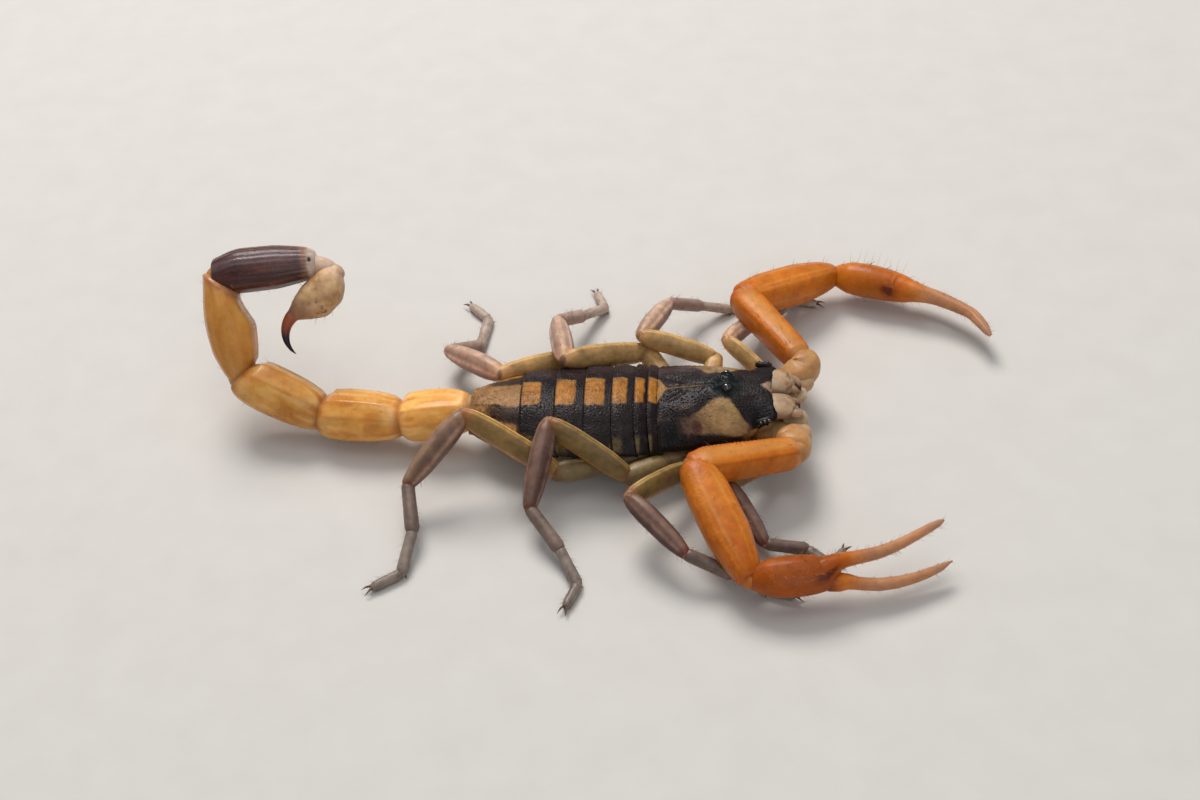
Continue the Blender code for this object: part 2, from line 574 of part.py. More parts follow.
# --- legs
for tag in ("R1", "R2", "R3", "R4", "L1", "L2", "L3", "L4"):
    side = 1 if tag[0] == "L" else -1
    n = int(tag[1])
    pose = POSE[tag]
    L = LEG_LENGTHS[n]
    x, y, z = COXA_END[n]
    pts = [Vector((x, side * y, z))]
    ds = []
    for k, ((h, p), length) in enumerate(zip(pose, L)):
        d = direction(h, p, side)
        if k == 4:      # the basitarsus comes down to the level of the foot
            drop = pts[-1].z - FOOT_LEVEL - 0.04
            c = min(0.95, max(0.0, drop / length))
            flat_dir = direction(h, 0, side)
            d = (flat_dir * sqrt(1 - c * c) + Vector((0, 0, -c))).normalized()
        if k == 5:
            flat_dir = direction(h, 0, side)
            c = 0.04 / length
            d = (flat_dir * sqrt(1 - c * c) + Vector((0, 0, -c))).normalized()
        ds.append(d)
        pts.append(pts[-1] + d * length)
    r = LEG_RADII[n]
    aim = ARM_AIM[n]
    arm_dir = Vector((x - aim[0], side * (y - aim[1]), 0)).normalized()
    # trochanter and femur
    bm = tube([pts[0] - ds[0] * 0.1, pts[1], pts[2]],
              [[(0.0, r[0], r[0]), (0.5, r[1], r[1]), (1.0, r[1], r[1])],
               [(0.25, r[2] * FEMUR_FLAT, r[2]), (0.55, r[2] * FEMUR_FLAT, r[2] * 1.04),
                (0.85, r[3], r[2] * 0.94), (1.0, r[3], r[3] * 1.05)]], 8)
    cut(bm, pts[0] + arm_dir * GAP, -arm_dir)
    n1 = half_plane(ds[1], ds[2])
    cut(bm, pts[2] - n1 * GAP / 2, n1)
    emit("leg_%s_femur" % tag, bm, OLIVE)
    # patella
    bm = tube([pts[2], pts[3]], [[(0.0, r[3], r[3] * 1.05), (0.14, r[4] * PATELLA_FLAT, r[4] * 1.06), (0.45, r[4] * PATELLA_FLAT, r[4] * 1.10),
                                (0.85, r[4] * 0.76, r[4] * 0.9), (1.0, r[5], r[5] * 1.1)]], 8)
    cut(bm, pts[2] + n1 * GAP / 2, -n1)
    n2 = half_plane(ds[2], ds[3])
    cut(bm, pts[3] - n2 * GAP / 2, n2)
    emit("leg_%s_patella" % tag, bm, MAUVE)
    # tibia, basitarsus and telotarsus, flat under the foot
    bm = tube([pts[3], pts[4], pts[5], pts[6]],
              [[(0.0, r[5], r[5] * 1.08), (0.5, r[5] * 0.95, r[5]), (1.0, r[6] * 1.08, r[6] * 1.08)],
               [(0.5, r[6] * 0.98, r[6]), (1.0, r[6] * 0.95, r[6] * 0.95)],
               [(0.5, r[6] * 0.92, r[6] * 0.96), (1.0, r[6] * 0.90, r[6])]], 8)
    cut(bm, pts[3] + n2 * GAP / 2, -n2)
    cut(bm, Vector((0, 0, 0)), Vector((0, 0, -1)))
    emit("leg_%s_foot" % tag, bm, CREAM)
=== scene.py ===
"""Looks of the desert scorpion: shell plates, membranes, eyes, claws, hairs,
their materials, the floor, the lights and the camera.

Working dimensions are in millimetres in the animal's own frame and are moved
and scaled once, when a mesh is made.
"""
import bpy
import numpy as np
from math import sin, cos, radians, pi, sqrt
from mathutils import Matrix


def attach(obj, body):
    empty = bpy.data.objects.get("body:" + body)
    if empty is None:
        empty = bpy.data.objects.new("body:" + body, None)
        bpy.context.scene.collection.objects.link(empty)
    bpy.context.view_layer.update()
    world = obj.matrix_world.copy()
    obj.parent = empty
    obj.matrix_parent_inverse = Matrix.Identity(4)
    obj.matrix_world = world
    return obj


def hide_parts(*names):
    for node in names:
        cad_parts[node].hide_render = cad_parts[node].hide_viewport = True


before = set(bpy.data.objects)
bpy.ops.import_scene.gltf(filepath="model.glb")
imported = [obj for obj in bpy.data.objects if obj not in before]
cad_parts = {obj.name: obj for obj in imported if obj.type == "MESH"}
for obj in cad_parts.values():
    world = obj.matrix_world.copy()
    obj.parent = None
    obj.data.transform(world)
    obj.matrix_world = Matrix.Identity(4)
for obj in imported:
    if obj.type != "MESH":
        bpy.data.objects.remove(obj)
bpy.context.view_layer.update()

CENTRE = np.array([-0.6132, 0.1966, 0.0])
MM = 0.001
PIECES = {}


# ----------------------------------------------------------------------
# numbers
# ----------------------------------------------------------------------
def v3(*a):
    return np.array(a, float)


def unit(v):
    v = np.asarray(v, float)
    return v / np.maximum(np.linalg.norm(v, axis=-1, keepdims=True), 1e-12)


def direction(heading, pitch, side=1):
    h, p = radians(heading), radians(pitch)
    return v3(cos(h) * cos(p), side * sin(h) * cos(p), sin(p))


def frame_of(d, up=(0, 0, 1)):
    s = unit(np.cross(d, up))
    return s, unit(np.cross(s, d))


def smooth(a, b, x):
    t = np.clip((x - a) / (b - a), 0, 1)
    return t * t * (3 - 2 * t)


def lerp(a, b, t):
    return a + (b - a) * t


def mixc(c, d, m):
    m = np.asarray(m)[..., None]
    return c * (1 - m) + np.asarray(d) * m


def srgb(r, g, b):
    c = np.array([r, g, b], float) / 255
    return np.where(c < 0.04045, c / 12.92, ((c + 0.055) / 1.055) ** 2.4)


def curve(table, x, col=1):
    """Smooth read of a table of rows (x, a, b, ...)."""
    rows = sorted(table)
    xs = np.array([r[0] for r in rows], float)
    ys = np.array([r[col] for r in rows], float)
    x = np.clip(np.asarray(x, float), xs[0], xs[-1])
    h = np.diff(xs)
    d = np.diff(ys) / h
    m = np.empty(len(xs))
    m[0], m[-1] = d[0], d[-1]
    for i in range(1, len(xs) - 1):      # monotone tangents
        m[i] = 0.0 if d[i - 1] * d[i] <= 0 else 3 * (h[i - 1] + h[i]) / (
            (2 * h[i] + h[i - 1]) / d[i - 1] + (h[i] + 2 * h[i - 1]) / d[i])
    k = np.clip(np.searchsorted(xs, x, side="right") - 1, 0, len(xs) - 2)
    t = (x - xs[k]) / h[k]
    a, b = ys[k], ys[k + 1]
    return (a * (2 * t ** 3 - 3 * t ** 2 + 1) + b * (3 * t ** 2 - 2 * t ** 3)
            + m[k] * h[k] * (t ** 3 - 2 * t ** 2 + t) + m[k + 1] * h[k] * (t ** 3 - t ** 2))


def hash01(*k):
    a = np.zeros(np.broadcast(*k).shape)
    for i, q in enumerate(k):
        a = a + np.asarray(q, float) * (127.1, 311.7, 74.7, 53.3)[i]
    return np.modf(np.abs(np.sin(a) * 43758.5453))[0]


def noise3(P, scale, seed=0):
    """Smooth value noise in 0..1."""
    q = np.asarray(P) * scale + 100.0
    i = np.floor(q)
    f = q - i
    f = f * f * (3 - 2 * f)
    out = 0.0
    for dx in (0, 1):
        for dy in (0, 1):
            for dz in (0, 1):
                w = ((f[..., 0] if dx else 1 - f[..., 0]) * (f[..., 1] if dy else 1 - f[..., 1])
                     * (f[..., 2] if dz else 1 - f[..., 2]))
                out = out + w * hash01(i[..., 0] + dx, i[..., 1] + dy, i[..., 2] + dz, seed + 0.0)
    return out


def fbm(P, scale, seed=0):
    return (noise3(P, scale, seed) * 0.55 + noise3(P, scale * 2.1, seed + 3) * 0.3
            + noise3(P, scale * 4.3, seed + 7) * 0.15)


def beads(x, y, size, seed, fill=0.7, spread=0.34):
    """Small round granules on a jittered grid: height 0..1."""
    gx, gy = np.floor(x / size), np.floor(y / size)
    best = np.zeros(np.broadcast(x, y).shape)
    for dx in (-1, 0, 1):
        for dy in (-1, 0, 1):
            cx, cy = gx + dx, gy + dy
            a = hash01(cx, cy, seed)
            b = hash01(cy, cx, seed + 11.0)
            c = hash01(cx + 5, cy - 3, seed + 23.0)
            px = (cx + 0.5 + (a - 0.5) * 0.8) * size
            py = (cy + 0.5 + (b - 0.5) * 0.8) * size
            r = size * spread * (0.55 + 0.6 * c)
            d2 = ((x - px) ** 2 + (y - py) ** 2) / r ** 2
            best = np.maximum(best, np.where(c < fill, np.clip(1 - d2, 0, 1) * (0.5 + 0.7 * a), 0))
    return best


# ----------------------------------------------------------------------
# meshes
# ----------------------------------------------------------------------
class Soup:
    """Vertices, faces and a colour per vertex, gathered from many surfaces."""

    def __init__(self):
        self.v, self.f, self.c, self.n, self.m, self.mi, self.uv = [], [], [], 0, [], 0, []

    def add(self, v, f, c, uv=None):
        v = np.asarray(v, float).reshape(-1, 3)
        c = np.broadcast_to(np.asarray(c, float), (len(v), 3))
        for face in f:
            face = np.asarray(face)
            if len(face):
                self.f.append(face + self.n)
                self.m.append(np.full(len(face), self.mi))
        self.v.append(v)
        self.c.append(c)
        self.uv.append(np.zeros((len(v), 2)) if uv is None else np.asarray(uv).reshape(-1, 2))
        self.n += len(v)
        return self

    def make(self, name, mats, replaces=(), slot=None, sharp=None, uv=False):
        v = (np.concatenate(self.v) - CENTRE) * MM
        v[:, 2] = np.maximum(v[:, 2], 0.0)        # nothing sinks into the floor
        c = np.concatenate(self.c)
        me = bpy.data.meshes.new(name)
        loops = np.concatenate([f.ravel() for f in self.f])
        sizes = np.concatenate([np.full(len(f), f.shape[1]) for f in self.f])
        starts = np.concatenate([[0], np.cumsum(sizes)[:-1]])
        me.vertices.add(len(v))
        me.vertices.foreach_set("co", v.astype(np.float32).ravel())
        me.loops.add(len(loops))
        me.loops.foreach_set("vertex_index", loops.astype(np.int32))
        me.polygons.add(len(sizes))
        me.polygons.foreach_set("loop_start", starts.astype(np.int32))
        me.polygons.foreach_set("loop_total", sizes.astype(np.int32))
        me.polygons.foreach_set("material_index", np.concatenate(self.m).astype(np.int32))
        me.polygons.foreach_set("use_smooth", np.ones(len(sizes), bool))
        at = me.attributes.new("tint", "FLOAT_COLOR", "POINT")
        at.data.foreach_set("color", np.hstack([c, np.ones((len(c), 1))]).astype(np.float32).ravel())
        if uv:
            layer = me.uv_layers.new(name="OFBake")
            layer.data.foreach_set("uv", np.concatenate(self.uv)[loops].astype(np.float32).ravel())
        me.update(calc_edges=True)
        me.validate(verbose=False)
        if sharp:
            me.set_sharp_from_angle(angle=radians(sharp))
        for m in (mats if isinstance(mats, (list, tuple)) else [mats]):
            me.materials.append(m)
        ob = bpy.data.objects.new(name, me)
        bpy.context.scene.collection.objects.link(ob)
        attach(ob, "root")
        if replaces:
            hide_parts(*replaces)
        PIECES[name] = ob
        return ob


def outward(v, f):
    """Faces turned so that a closed surface faces outward."""
    vol = 0.0
    for q in f:
        q = np.asarray(q)
        if not len(q):
            continue
        a = v[q[:, 0]]
        for k in range(1, q.shape[1] - 1):
            vol += np.einsum("ij,ij->i", a, np.cross(v[q[:, k]], v[q[:, k + 1]])).sum()
    return [np.asarray(q)[:, ::-1] if vol < 0 and len(q) else np.asarray(q) for q in f]


def sweep(C, S, U, W, H, m=32, power=2.0, radial=None, close=True, under=1.0):
    """Closed surface round a line. theta 0 is along U and grows towards S.
    radial(u, theta) gives a height in mm added along the ring's own radius.
    Returns vertices, faces, (u, theta) per vertex."""
    C, S, U = np.asarray(C), np.asarray(S), np.asarray(U)
    n = len(C)
    W, H = np.broadcast_to(W, n), np.broadcast_to(H, n)
    th = np.linspace(0, 2 * pi, m, endpoint=False)
    sn, cs = np.sin(th), np.cos(th)
    p = np.broadcast_to(power, n)[:, None]
    k = (np.abs(sn)[None] ** p + np.abs(cs)[None] ** p) ** (-1 / p)
    hh = np.where(cs[None] < 0, under, 1.0) * H[:, None]
    a, b = W[:, None] * k * sn, hh * k * cs
    seg = np.concatenate([[0], np.cumsum(np.linalg.norm(np.diff(C, axis=0), axis=1))])
    u = (seg / max(seg[-1], 1e-9))[:, None] * np.ones((1, m))
    T = np.broadcast_to(th[None], (n, m))
    if radial is not None:
        r = np.sqrt(a * a + b * b) + 1e-9
        g = 1 + radial(u, T) / r
        a, b = a * g, b * g
    V = C[:, None] + S[:, None] * a[..., None] + U[:, None] * b[..., None]
    i = np.arange(n - 1)[:, None] * m
    j = np.arange(m)[None]
    j2 = (j + 1) % m
    quads = np.stack([i + j, i + j2, i + m + j2, i + m + j], -1).reshape(-1, 4)
    V = V.reshape(-1, 3)
    tris = np.zeros((0, 3), int)
    uu, tt = u.ravel(), T.ravel()
    if close:
        a0, a1 = len(V), len(V) + 1
        V = np.vstack([V, C[0], C[-1]])
        jj = np.arange(m)
        k2 = (jj + 1) % m
        base = (n - 1) * m
        tris = np.vstack([np.stack([np.full(m, a0), k2, jj], -1),
                          np.stack([np.full(m, a1), base + jj, base + k2], -1)])
        uu = np.concatenate([uu, [0, 1]])
        tt = np.concatenate([tt, [0, 0]])
    faces = outward(V, [quads, tris])
    return V, faces, uu, tt


def dome_profile(n_end, length, w0, w1):
    """Extra stations that round the two ends of a sweep: (position, factor)."""
    t = np.linspace(0, pi / 2, n_end)
    head = [(-w0 * cos(q), max(sin(q), 0.02)) for q in t[:-1]]
    tail = [(length + w1 * sin(q), max(cos(q), 0.02)) for q in t[1:]]
    return head, tail


def podomere(a, b, wt, ht, start=0.35, end=0.45, m=28, step=0.11, power=2.2, up=(0, 0, 1),
             bow=0.0, radial=None, side_bow=0.0, su=None):
    """One limb piece from a to b. wt, ht: tables (share, half size). start and
    end: how far the rounded ends reach past a and b, as parts of the half
    width there."""
    a, b = np.asarray(a, float), np.asarray(b, float)
    L = np.linalg.norm(b - a)
    d = (b - a) / L
    s, u = frame_of(d, up) if su is None else su
    n = max(8, int(L / step))
    t = np.linspace(0, 1, n)
    w, h = curve(wt, t), curve(ht, t)
    q = np.linspace(0, pi / 2, 7)
    t0 = -start * w[0] / L * np.cos(q[:-1])
    k0 = np.maximum(np.sin(q[:-1]), 0.03)
    t1 = 1 + end * w[-1] / L * np.sin(q[1:])
    k1 = np.maximum(np.cos(q[1:]), 0.03)
    T = np.concatenate([t0, t, t1])
    K = np.concatenate([k0, np.ones(n), k1])
    Wf = np.concatenate([np.full(6, w[0]), w, np.full(6, w[-1])]) * K
    Hf = np.concatenate([np.full(6, h[0]), h, np.full(6, h[-1])]) * K
    tc = np.clip(T, 0, 1)
    C = (a + np.outer(T * L, d) + np.outer(np.sin(pi * tc) * bow, u)
         + np.outer(np.sin(pi * tc) * side_bow, s))
    nn = len(T)
    rad = None
    if radial is not None:
        def rad(uu, th):
            return radial(np.broadcast_to(T[:, None], uu.shape), th) * np.minimum(1, K[:, None] ** 2)
    V, F, uu, tt = sweep(C, np.tile(s, (nn, 1)), np.tile(u, (nn, 1)), Wf, Hf, m, power, rad)
    Tv = np.concatenate([np.repeat(T, m), [T[0], T[-1]]])
    return V, F, Tv, tt


def keel(th, at, width):
    """1 on the line at angle `at`, both sides if `at` is a list."""
    out = 0.0
    for q in (at if isinstance(at, (list, tuple)) else [at]):
        d = np.abs((th - radians(q) + pi) % (2 * pi) - pi)
        out = np.maximum(out, np.exp(-(d / radians(width)) ** 2))
    return out


def cone(soup, root, d, length, r, col, bend=(0, 0, 0), sides=4, steps=4, uv=None):
    """A thin curved cone: tooth, claw or hair."""
    d = unit(d)
    t = np.linspace(0, 1, steps)
    C = root + np.outer(t * length, d) + np.outer(t ** 2 * length, bend)
    D = unit(np.gradient(C, axis=0))
    s, u = frame_of(D[0], (0, 0, 1) if abs(D[0][2]) < 0.9 else (1, 0, 0))
    R = r * (1 - t) ** 0.8 + r * 0.06
    th = np.arange(sides) * 2 * pi / sides
    V = (C[:, None] + R[:, None, None] * (np.cos(th)[None, :, None] * s + np.sin(th)[None, :, None] * u)).reshape(-1, 3)
    i = np.arange(steps - 1)[:, None] * sides
    j = np.arange(sides)[None]
    j2 = (j + 1) % sides
    quads = np.stack([i + j, i + j2, i + sides + j2, i + sides + j], -1).reshape(-1, 4)
    caps = [np.array([list(range(sides))[::-1]]), np.array([[(steps - 1) * sides + q for q in range(sides)]])]
    F = outward(V, [quads] + caps)
    UV = None
    if uv is not None:
        UV = np.tile(uv, (len(V), 1)) + 0.0015 * np.stack(
            [np.tile(np.cos(th), steps), np.repeat(t, sides)], -1)
    soup.add(V, F, col, UV)


# ----------------------------------------------------------------------
# materials
# ----------------------------------------------------------------------
def new_material(name):
    m = bpy.data.materials.new(name)
    m.use_nodes = True
    nt = m.node_tree
    bs = nt.nodes["Principled BSDF"]
    return m, nt, bs


def cuticle(name, rough=0.32, rough_var=0.10, coat=0.25, coat_rough=0.2, sss=0.15, sss_mm=0.5,
            mottle=9000.0, mottle_amount=0.22, fine=28000.0, fine_amount=0.10,
            bump_mm=0.006, bump_scale=24000.0, cell_mm=0.0, cell_scale=9000.0, ior=1.5, spec=0.5):
    """Painted by the tint carried on the mesh, broken up by mottling, with
    fine pits and bumps and an uneven gloss."""
    m, nt, bs = new_material(name)
    N, L = nt.nodes, nt.links
    at = N.new("ShaderNodeAttribute")
    at.attribute_name = "tint"
    co = N.new("ShaderNodeTexCoord")

    def noise(scale, detail=3.0, roughness=0.55):
        n = N.new("ShaderNodeTexNoise")
        n.inputs["Scale"].default_value = scale / 10.0
        n.inputs["Detail"].default_value = detail
        n.inputs["Roughness"].default_value = roughness
        L.new(co.outputs["Object"], n.inputs["Vector"])
        return n

    def ranged(src, lo, hi, a=0.3, b=0.7):
        r = N.new("ShaderNodeMapRange")
        r.inputs["From Min"].default_value = a
        r.inputs["From Max"].default_value = b
        r.inputs["To Min"].default_value = lo
        r.inputs["To Max"].default_value = hi
        L.new(src, r.inputs["Value"])
        return r.outputs["Result"]

    n1, n2 = noise(mottle), noise(fine, 2.0)
    k1 = ranged(n1.outputs["Fac"], 1 - mottle_amount, 1 + mottle_amount)
    k2 = ranged(n2.outputs["Fac"], 1 - fine_amount, 1 + fine_amount)
    mul = N.new("ShaderNodeMath")
    mul.operation = "MULTIPLY"
    L.new(k1, mul.inputs[0])
    L.new(k2, mul.inputs[1])
    col = N.new("ShaderNodeVectorMath")
    col.operation = "SCALE"
    L.new(at.outputs["Color"], col.inputs[0])
    L.new(mul.outputs[0], col.inputs["Scale"])
    L.new(col.outputs[0], bs.inputs["Base Color"])
    L.new(ranged(n1.outputs["Fac"], rough - rough_var, rough + rough_var), bs.inputs["Roughness"])
    bump = N.new("ShaderNodeBump")
    bump.inputs["Strength"].default_value = 1.0
    bump.inputs["Distance"].default_value = bump_mm * MM
    L.new(noise(bump_scale, 4.0, 0.6).outputs["Fac"], bump.inputs["Height"])
    last = bump
    if cell_mm:
        vo = N.new("ShaderNodeTexVoronoi")
        vo.inputs["Scale"].default_value = cell_scale
        L.new(co.outputs["Object"], vo.inputs["Vector"])
        b2 = N.new("ShaderNodeBump")
        b2.invert = True
        b2.inputs["Strength"].default_value = 1.0
        b2.inputs["Distance"].default_value = cell_mm * MM
        L.new(vo.outputs["Distance"], b2.inputs["Height"])
        L.new(bump.outputs["Normal"], b2.inputs["Normal"])
        last = b2
    L.new(last.outputs["Normal"], bs.inputs["Normal"])
    bs.inputs["IOR"].default_value = ior
    bs.inputs["Specular IOR Level"].default_value = spec
    bs.inputs["Coat Weight"].default_value = coat
    bs.inputs["Coat Roughness"].default_value = coat_rough
    bs.inputs["Subsurface Weight"].default_value = sss
    bs.inputs["Subsurface Radius"].default_value = (1.0, 0.42, 0.16)
    bs.inputs["Subsurface Scale"].default_value = sss_mm * MM
    return m


M_PLATE = cuticle("plate_dark", rough=0.31, rough_var=0.09, coat=0.0, coat_rough=0.25, sss=0.02, spec=0.15,
                  mottle_amount=0.28, fine_amount=0.22, bump_mm=0.010, cell_mm=0.012, cell_scale=11000.0)
M_PALP = cuticle("palp_amber", rough=0.36, rough_var=0.09, coat=0.05, coat_rough=0.20, sss=0.30, sss_mm=0.7, spec=0.20,
                 mottle=6000.0, mottle_amount=0.13, fine_amount=0.09, bump_mm=0.010, bump_scale=50000.0, cell_mm=0.010, cell_scale=5600.0)
M_TAIL = cuticle("tail_amber", rough=0.31, rough_var=0.09, coat=0.05, coat_rough=0.12, sss=0.30, sss_mm=0.7, spec=0.26,
                 mottle=5200.0, mottle_amount=0.09, fine_amount=0.07, bump_mm=0.008, bump_scale=55000.0, cell_mm=0.006, cell_scale=5200.0)
M_MAROON = cuticle("tail_maroon", rough=0.33, rough_var=0.08, coat=0.07, coat_rough=0.14, sss=0.05, spec=0.36,
                   mottle_amount=0.26, fine_amount=0.18, bump_mm=0.012, bump_scale=55000.0, cell_mm=0.010, cell_scale=6500.0)
M_LEG = cuticle("leg_cuticle", rough=0.38, rough_var=0.10, coat=0.06, coat_rough=0.22, sss=0.25, sss_mm=0.4, spec=0.26,
                mottle=9000.0, mottle_amount=0.24, fine_amount=0.14, bump_mm=0.010, bump_scale=60000.0, cell_mm=0.008, cell_scale=7000.0)
M_CREAM = cuticle("cream_cuticle", rough=0.42, rough_var=0.08, coat=0.04, coat_rough=0.25, sss=0.25, sss_mm=0.5, spec=0.28,
                  mottle=11000.0, mottle_amount=0.20, fine_amount=0.12, bump_mm=0.012)
M_SKIN = cuticle("joint_skin", rough=0.48, rough_var=0.10, coat=0.02, sss=0.25, sss_mm=0.5, spec=0.22,
                 mottle=8000.0, mottle_amount=0.20, fine_amount=0.10, bump_mm=0.012, bump_scale=16000.0)
M_EYE = cuticle("eye_gloss", rough=0.08, rough_var=0.03, coat=1.0, coat_rough=0.03, sss=0.0,
                mottle_amount=0.3, bump_mm=0.0005, spec=0.7)
M_HAIR = cuticle("bristle", rough=0.42, rough_var=0.06, coat=0.0, sss=0.0, mottle_amount=0.3, bump_mm=0.001)
M_CLAW = cuticle("claw_horn", rough=0.24, rough_var=0.05, coat=0.5, coat_rough=0.1, sss=0.05,
                 mottle_amount=0.2, bump_mm=0.002)

def lin(r, g, b):
    return np.array([r, g, b], float)


DARK = lin(0.015, 0.0078, 0.0078)
BLACK = lin(0.006, 0.005, 0.005)
SQUARE = lin(0.37, 0.150, 0.022)
OLIVE = lin(0.12, 0.085, 0.032)
TAN = lin(0.20, 0.115, 0.055)
REDBR = lin(0.075, 0.024, 0.016)
ORANGE = lin(0.56, 0.155, 0.010)
ORANGE_HI = lin(0.64, 0.22, 0.025)
ORANGE_DK = lin(0.42, 0.080, 0.004)
PEACH = lin(0.50, 0.255, 0.10)
PINKTAN = lin(0.44, 0.235, 0.13)
RUST = lin(0.17, 0.024, 0.004)
TAILC = lin(0.68, 0.315, 0.065)
TAILC_HI = lin(0.80, 0.46, 0.14)
TAILC_DK = lin(0.50, 0.175, 0.022)
MAROON = lin(0.082, 0.024, 0.019)
CREAM = lin(0.42, 0.285, 0.175)
WHITE = lin(0.60, 0.47, 0.38)
SKIN = lin(0.30, 0.20, 0.11)
SKIN_DK = lin(0.10, 0.072, 0.036)

# ----------------------------------------------------------------------
# the animal's measures, the same as the solids'
# ----------------------------------------------------------------------
CARAPACE_REAR, CARAPACE_FRONT = 3.50, 10.55
TERGITE_REAR = (2.85, 2.05, 0.70, -0.95, -2.70, -4.75, -7.75)
LEG_LENGTHS = {1: (1.65, 3.5, 4.2, 2.4, 1.8, 1.5), 2: (1.9, 4.8, 4.7, 2.8, 2.2, 1.7),
               3: (2.4, 5.7, 5.1, 3.1, 2.5, 1.8), 4: (2.9, 6.5, 5.3, 3.0, 2.7, 2.0)}
COXA_END = {1: (8.8, 2.6, 1.75), 2: (6.4, 3.1, 1.9), 3: (3.9, 3.6, 1.8), 4: (0.3, 3.5, 1.6)}
LEG_RADII = {1: (0.48, 0.50, 0.56, 0.46, 0.50, 0.38, 0.31), 2: (0.54, 0.56, 0.62, 0.50, 0.55, 0.41, 0.32),
             3: (0.60, 0.62, 0.68, 0.54, 0.60, 0.43, 0.33), 4: (0.62, 0.64, 0.69, 0.57, 0.62, 0.45, 0.34)}
POSE = {
    "R1": ((38, 2), (136, 10), (58, -20), (0, -11), (39, -15), (-60, 0)),
    "R2": ((128, 10), (134, 14), (45, -15), (14, -21), (14, -18), (14, 0)),
    "R3": ((152, 0), (197, 33), (105, -36), (52, -17), (62, -11), (111, 0)),
    "R4": ((161, 6), (196, 31), (142, -36), (80, -18), (100, -15), (146, 0)),
    "L1": ((42, 4), (136, 15), (63, -20), (44, -15), (55, -10), (-12, 0)),
    "L2": ((75, 12), (173, 18), (70, -13), (36, -31), (20, -20), (20, 0)),
    "L3": ((124, 12), (207, 18), (100, -13), (60, -31), (54, -15), (112, 0)),
    "L4": ((112, -2), (210, 13), (137, -13), (50, -29), (84, -11), (133, 0)),
}
FOOT_LEVEL = 0.30
PALP_LENGTHS = (1.9, 6.4, 7.5, 11.4)
PALP_ROOT = (11.0, 2.45, 2.55)
PALP_POSE = {"R": ((70, 17), (158, 11), (65, -17), (-14, -1)), "L": ((53, 16), (123, 3), (36, -13), (-34, 0))}
PALP_KNEE = {"R": (11.65, 3.05, 2.85), "L": (12.75, 2.95, 2.95)}
HAND_PART = 0.42
CHELA_BOW = {
    "R": ((0.0, 0.0), (0.25, 0.45), (0.42, 0.62), (0.62, 0.58), (0.80, 0.35), (1.0, 0.0)),
    "L": ((0.0, 0.0), (0.25, 0.80), (0.42, 1.20), (0.62, 1.58), (0.80, 1.45), (0.92, 0.80), (1.0, 0.15)),
}
FINGER_PATH = {
    "R": (((0.40, -0.46), (2.0, -0.62), (3.8, -0.78), (5.2, -1.05), (6.1, -1.22), (6.6, -1.32)),
          ((0.42, 0.60), (1.0, 0.80), (2.4, 1.12), (4.2, 1.26), (5.7, 1.16), (6.5, 1.00))),
    "L": (((0.40, -0.46), (2.0, -0.45), (3.8, -0.39), (5.2, -0.31), (6.1, -0.25), (6.6, -0.20)),
          ((0.42, 0.54), (1.0, 0.54), (2.4, 0.44), (4.2, 0.36), (5.6, 0.32), (6.4, 0.27))),
}
TAIL_ROOT = (-7.90, 0.0, 2.80)
TAIL_LENGTHS = (4.30, 5.15, 5.40, 6.60, 6.70)
TAIL_POSE = ((179, -9), (172, -2), (163, 20), (119, 48), (7, 1))
TAIL_LEAN = (5, 20, 38, 47, 47)
TAIL_HALF = (1.52, 1.60, 1.60, 1.53, 1.42)
TELSON_LENGTH, TELSON_HALF, TELSON_AT, TELSON_FOLD = 3.85, 1.20, (1.30, 0.66), 139
STING_ARC, STING_RADIUS = 98, 1.50
TRUNK = (
    (3.50, 3.62, 4.36, 2.70, 1.05, 2.56, 0.90, 1.35), (2.85, 3.72, 4.38, 2.68, 1.30, 2.54, 1.12, 1.28),
    (2.05, 3.80, 4.38, 2.64, 1.62, 2.50, 1.42, 1.20), (0.70, 3.84, 4.35, 2.58, 2.22, 2.44, 1.95, 1.10),
    (-0.95, 3.80, 4.32, 2.54, 3.20, 2.00, 2.65, 1.02), (-2.70, 3.66, 4.26, 2.52, 3.15, 1.95, 2.60, 1.02),
    (-4.75, 3.22, 4.18, 2.56, 2.80, 1.90, 2.25, 1.08), (-6.30, 2.44, 4.06, 2.56, 2.20, 1.90, 1.70, 1.28),
    (-7.75, 1.52, 3.90, 2.62, 1.35, 2.10, 1.00, 1.62),
)
SHELL = (
    (3.50, 3.58, 4.36, 2.72, 2.58), (5.00, 3.52, 4.58, 2.72, 2.58), (6.60, 3.30, 4.72, 2.76, 2.60),
    (7.60, 3.10, 4.76, 2.80, 2.62), (8.90, 2.72, 4.66, 2.92, 2.66), (9.60, 2.56, 4.60, 3.62, 3.16),
    (10.55, 2.32, 4.44, 4.08, 3.84),
)
FRONT_NOTCH = 0.42
HAIR = Soup()          # all bristles
rng = np.random.default_rng(7)


def grid_faces(n, m):
    i = np.arange(n - 1)[:, None] * m
    j = np.arange(m - 1)[None]
    return np.stack([i + j, i + j + 1, i + m + j + 1, i + m + j], -1).reshape(-1, 4)


def shell_sheet(top, bottom):
    """Closed thin plate from two grids of the same shape (n, m, 3)."""
    n, m = top.shape[:2]
    f = grid_faces(n, m)
    g = f[:, ::-1] + n * m
    e = []
    edge = ([(0, j) for j in range(m)] + [(i, m - 1) for i in range(1, n)]
            + [(n - 1, j) for j in range(m - 2, -1, -1)] + [(i, 0) for i in range(n - 2, 0, -1)])
    ids = [i * m + j for i, j in edge]
    for a, b in zip(ids, ids[1:] + ids[:1]):
        e.append((b, a, a + n * m, b + n * m))
    V = np.vstack([top.reshape(-1, 3), bottom.reshape(-1, 3)])
    return V, outward(V, [np.vstack([f, g, np.array(e)])])


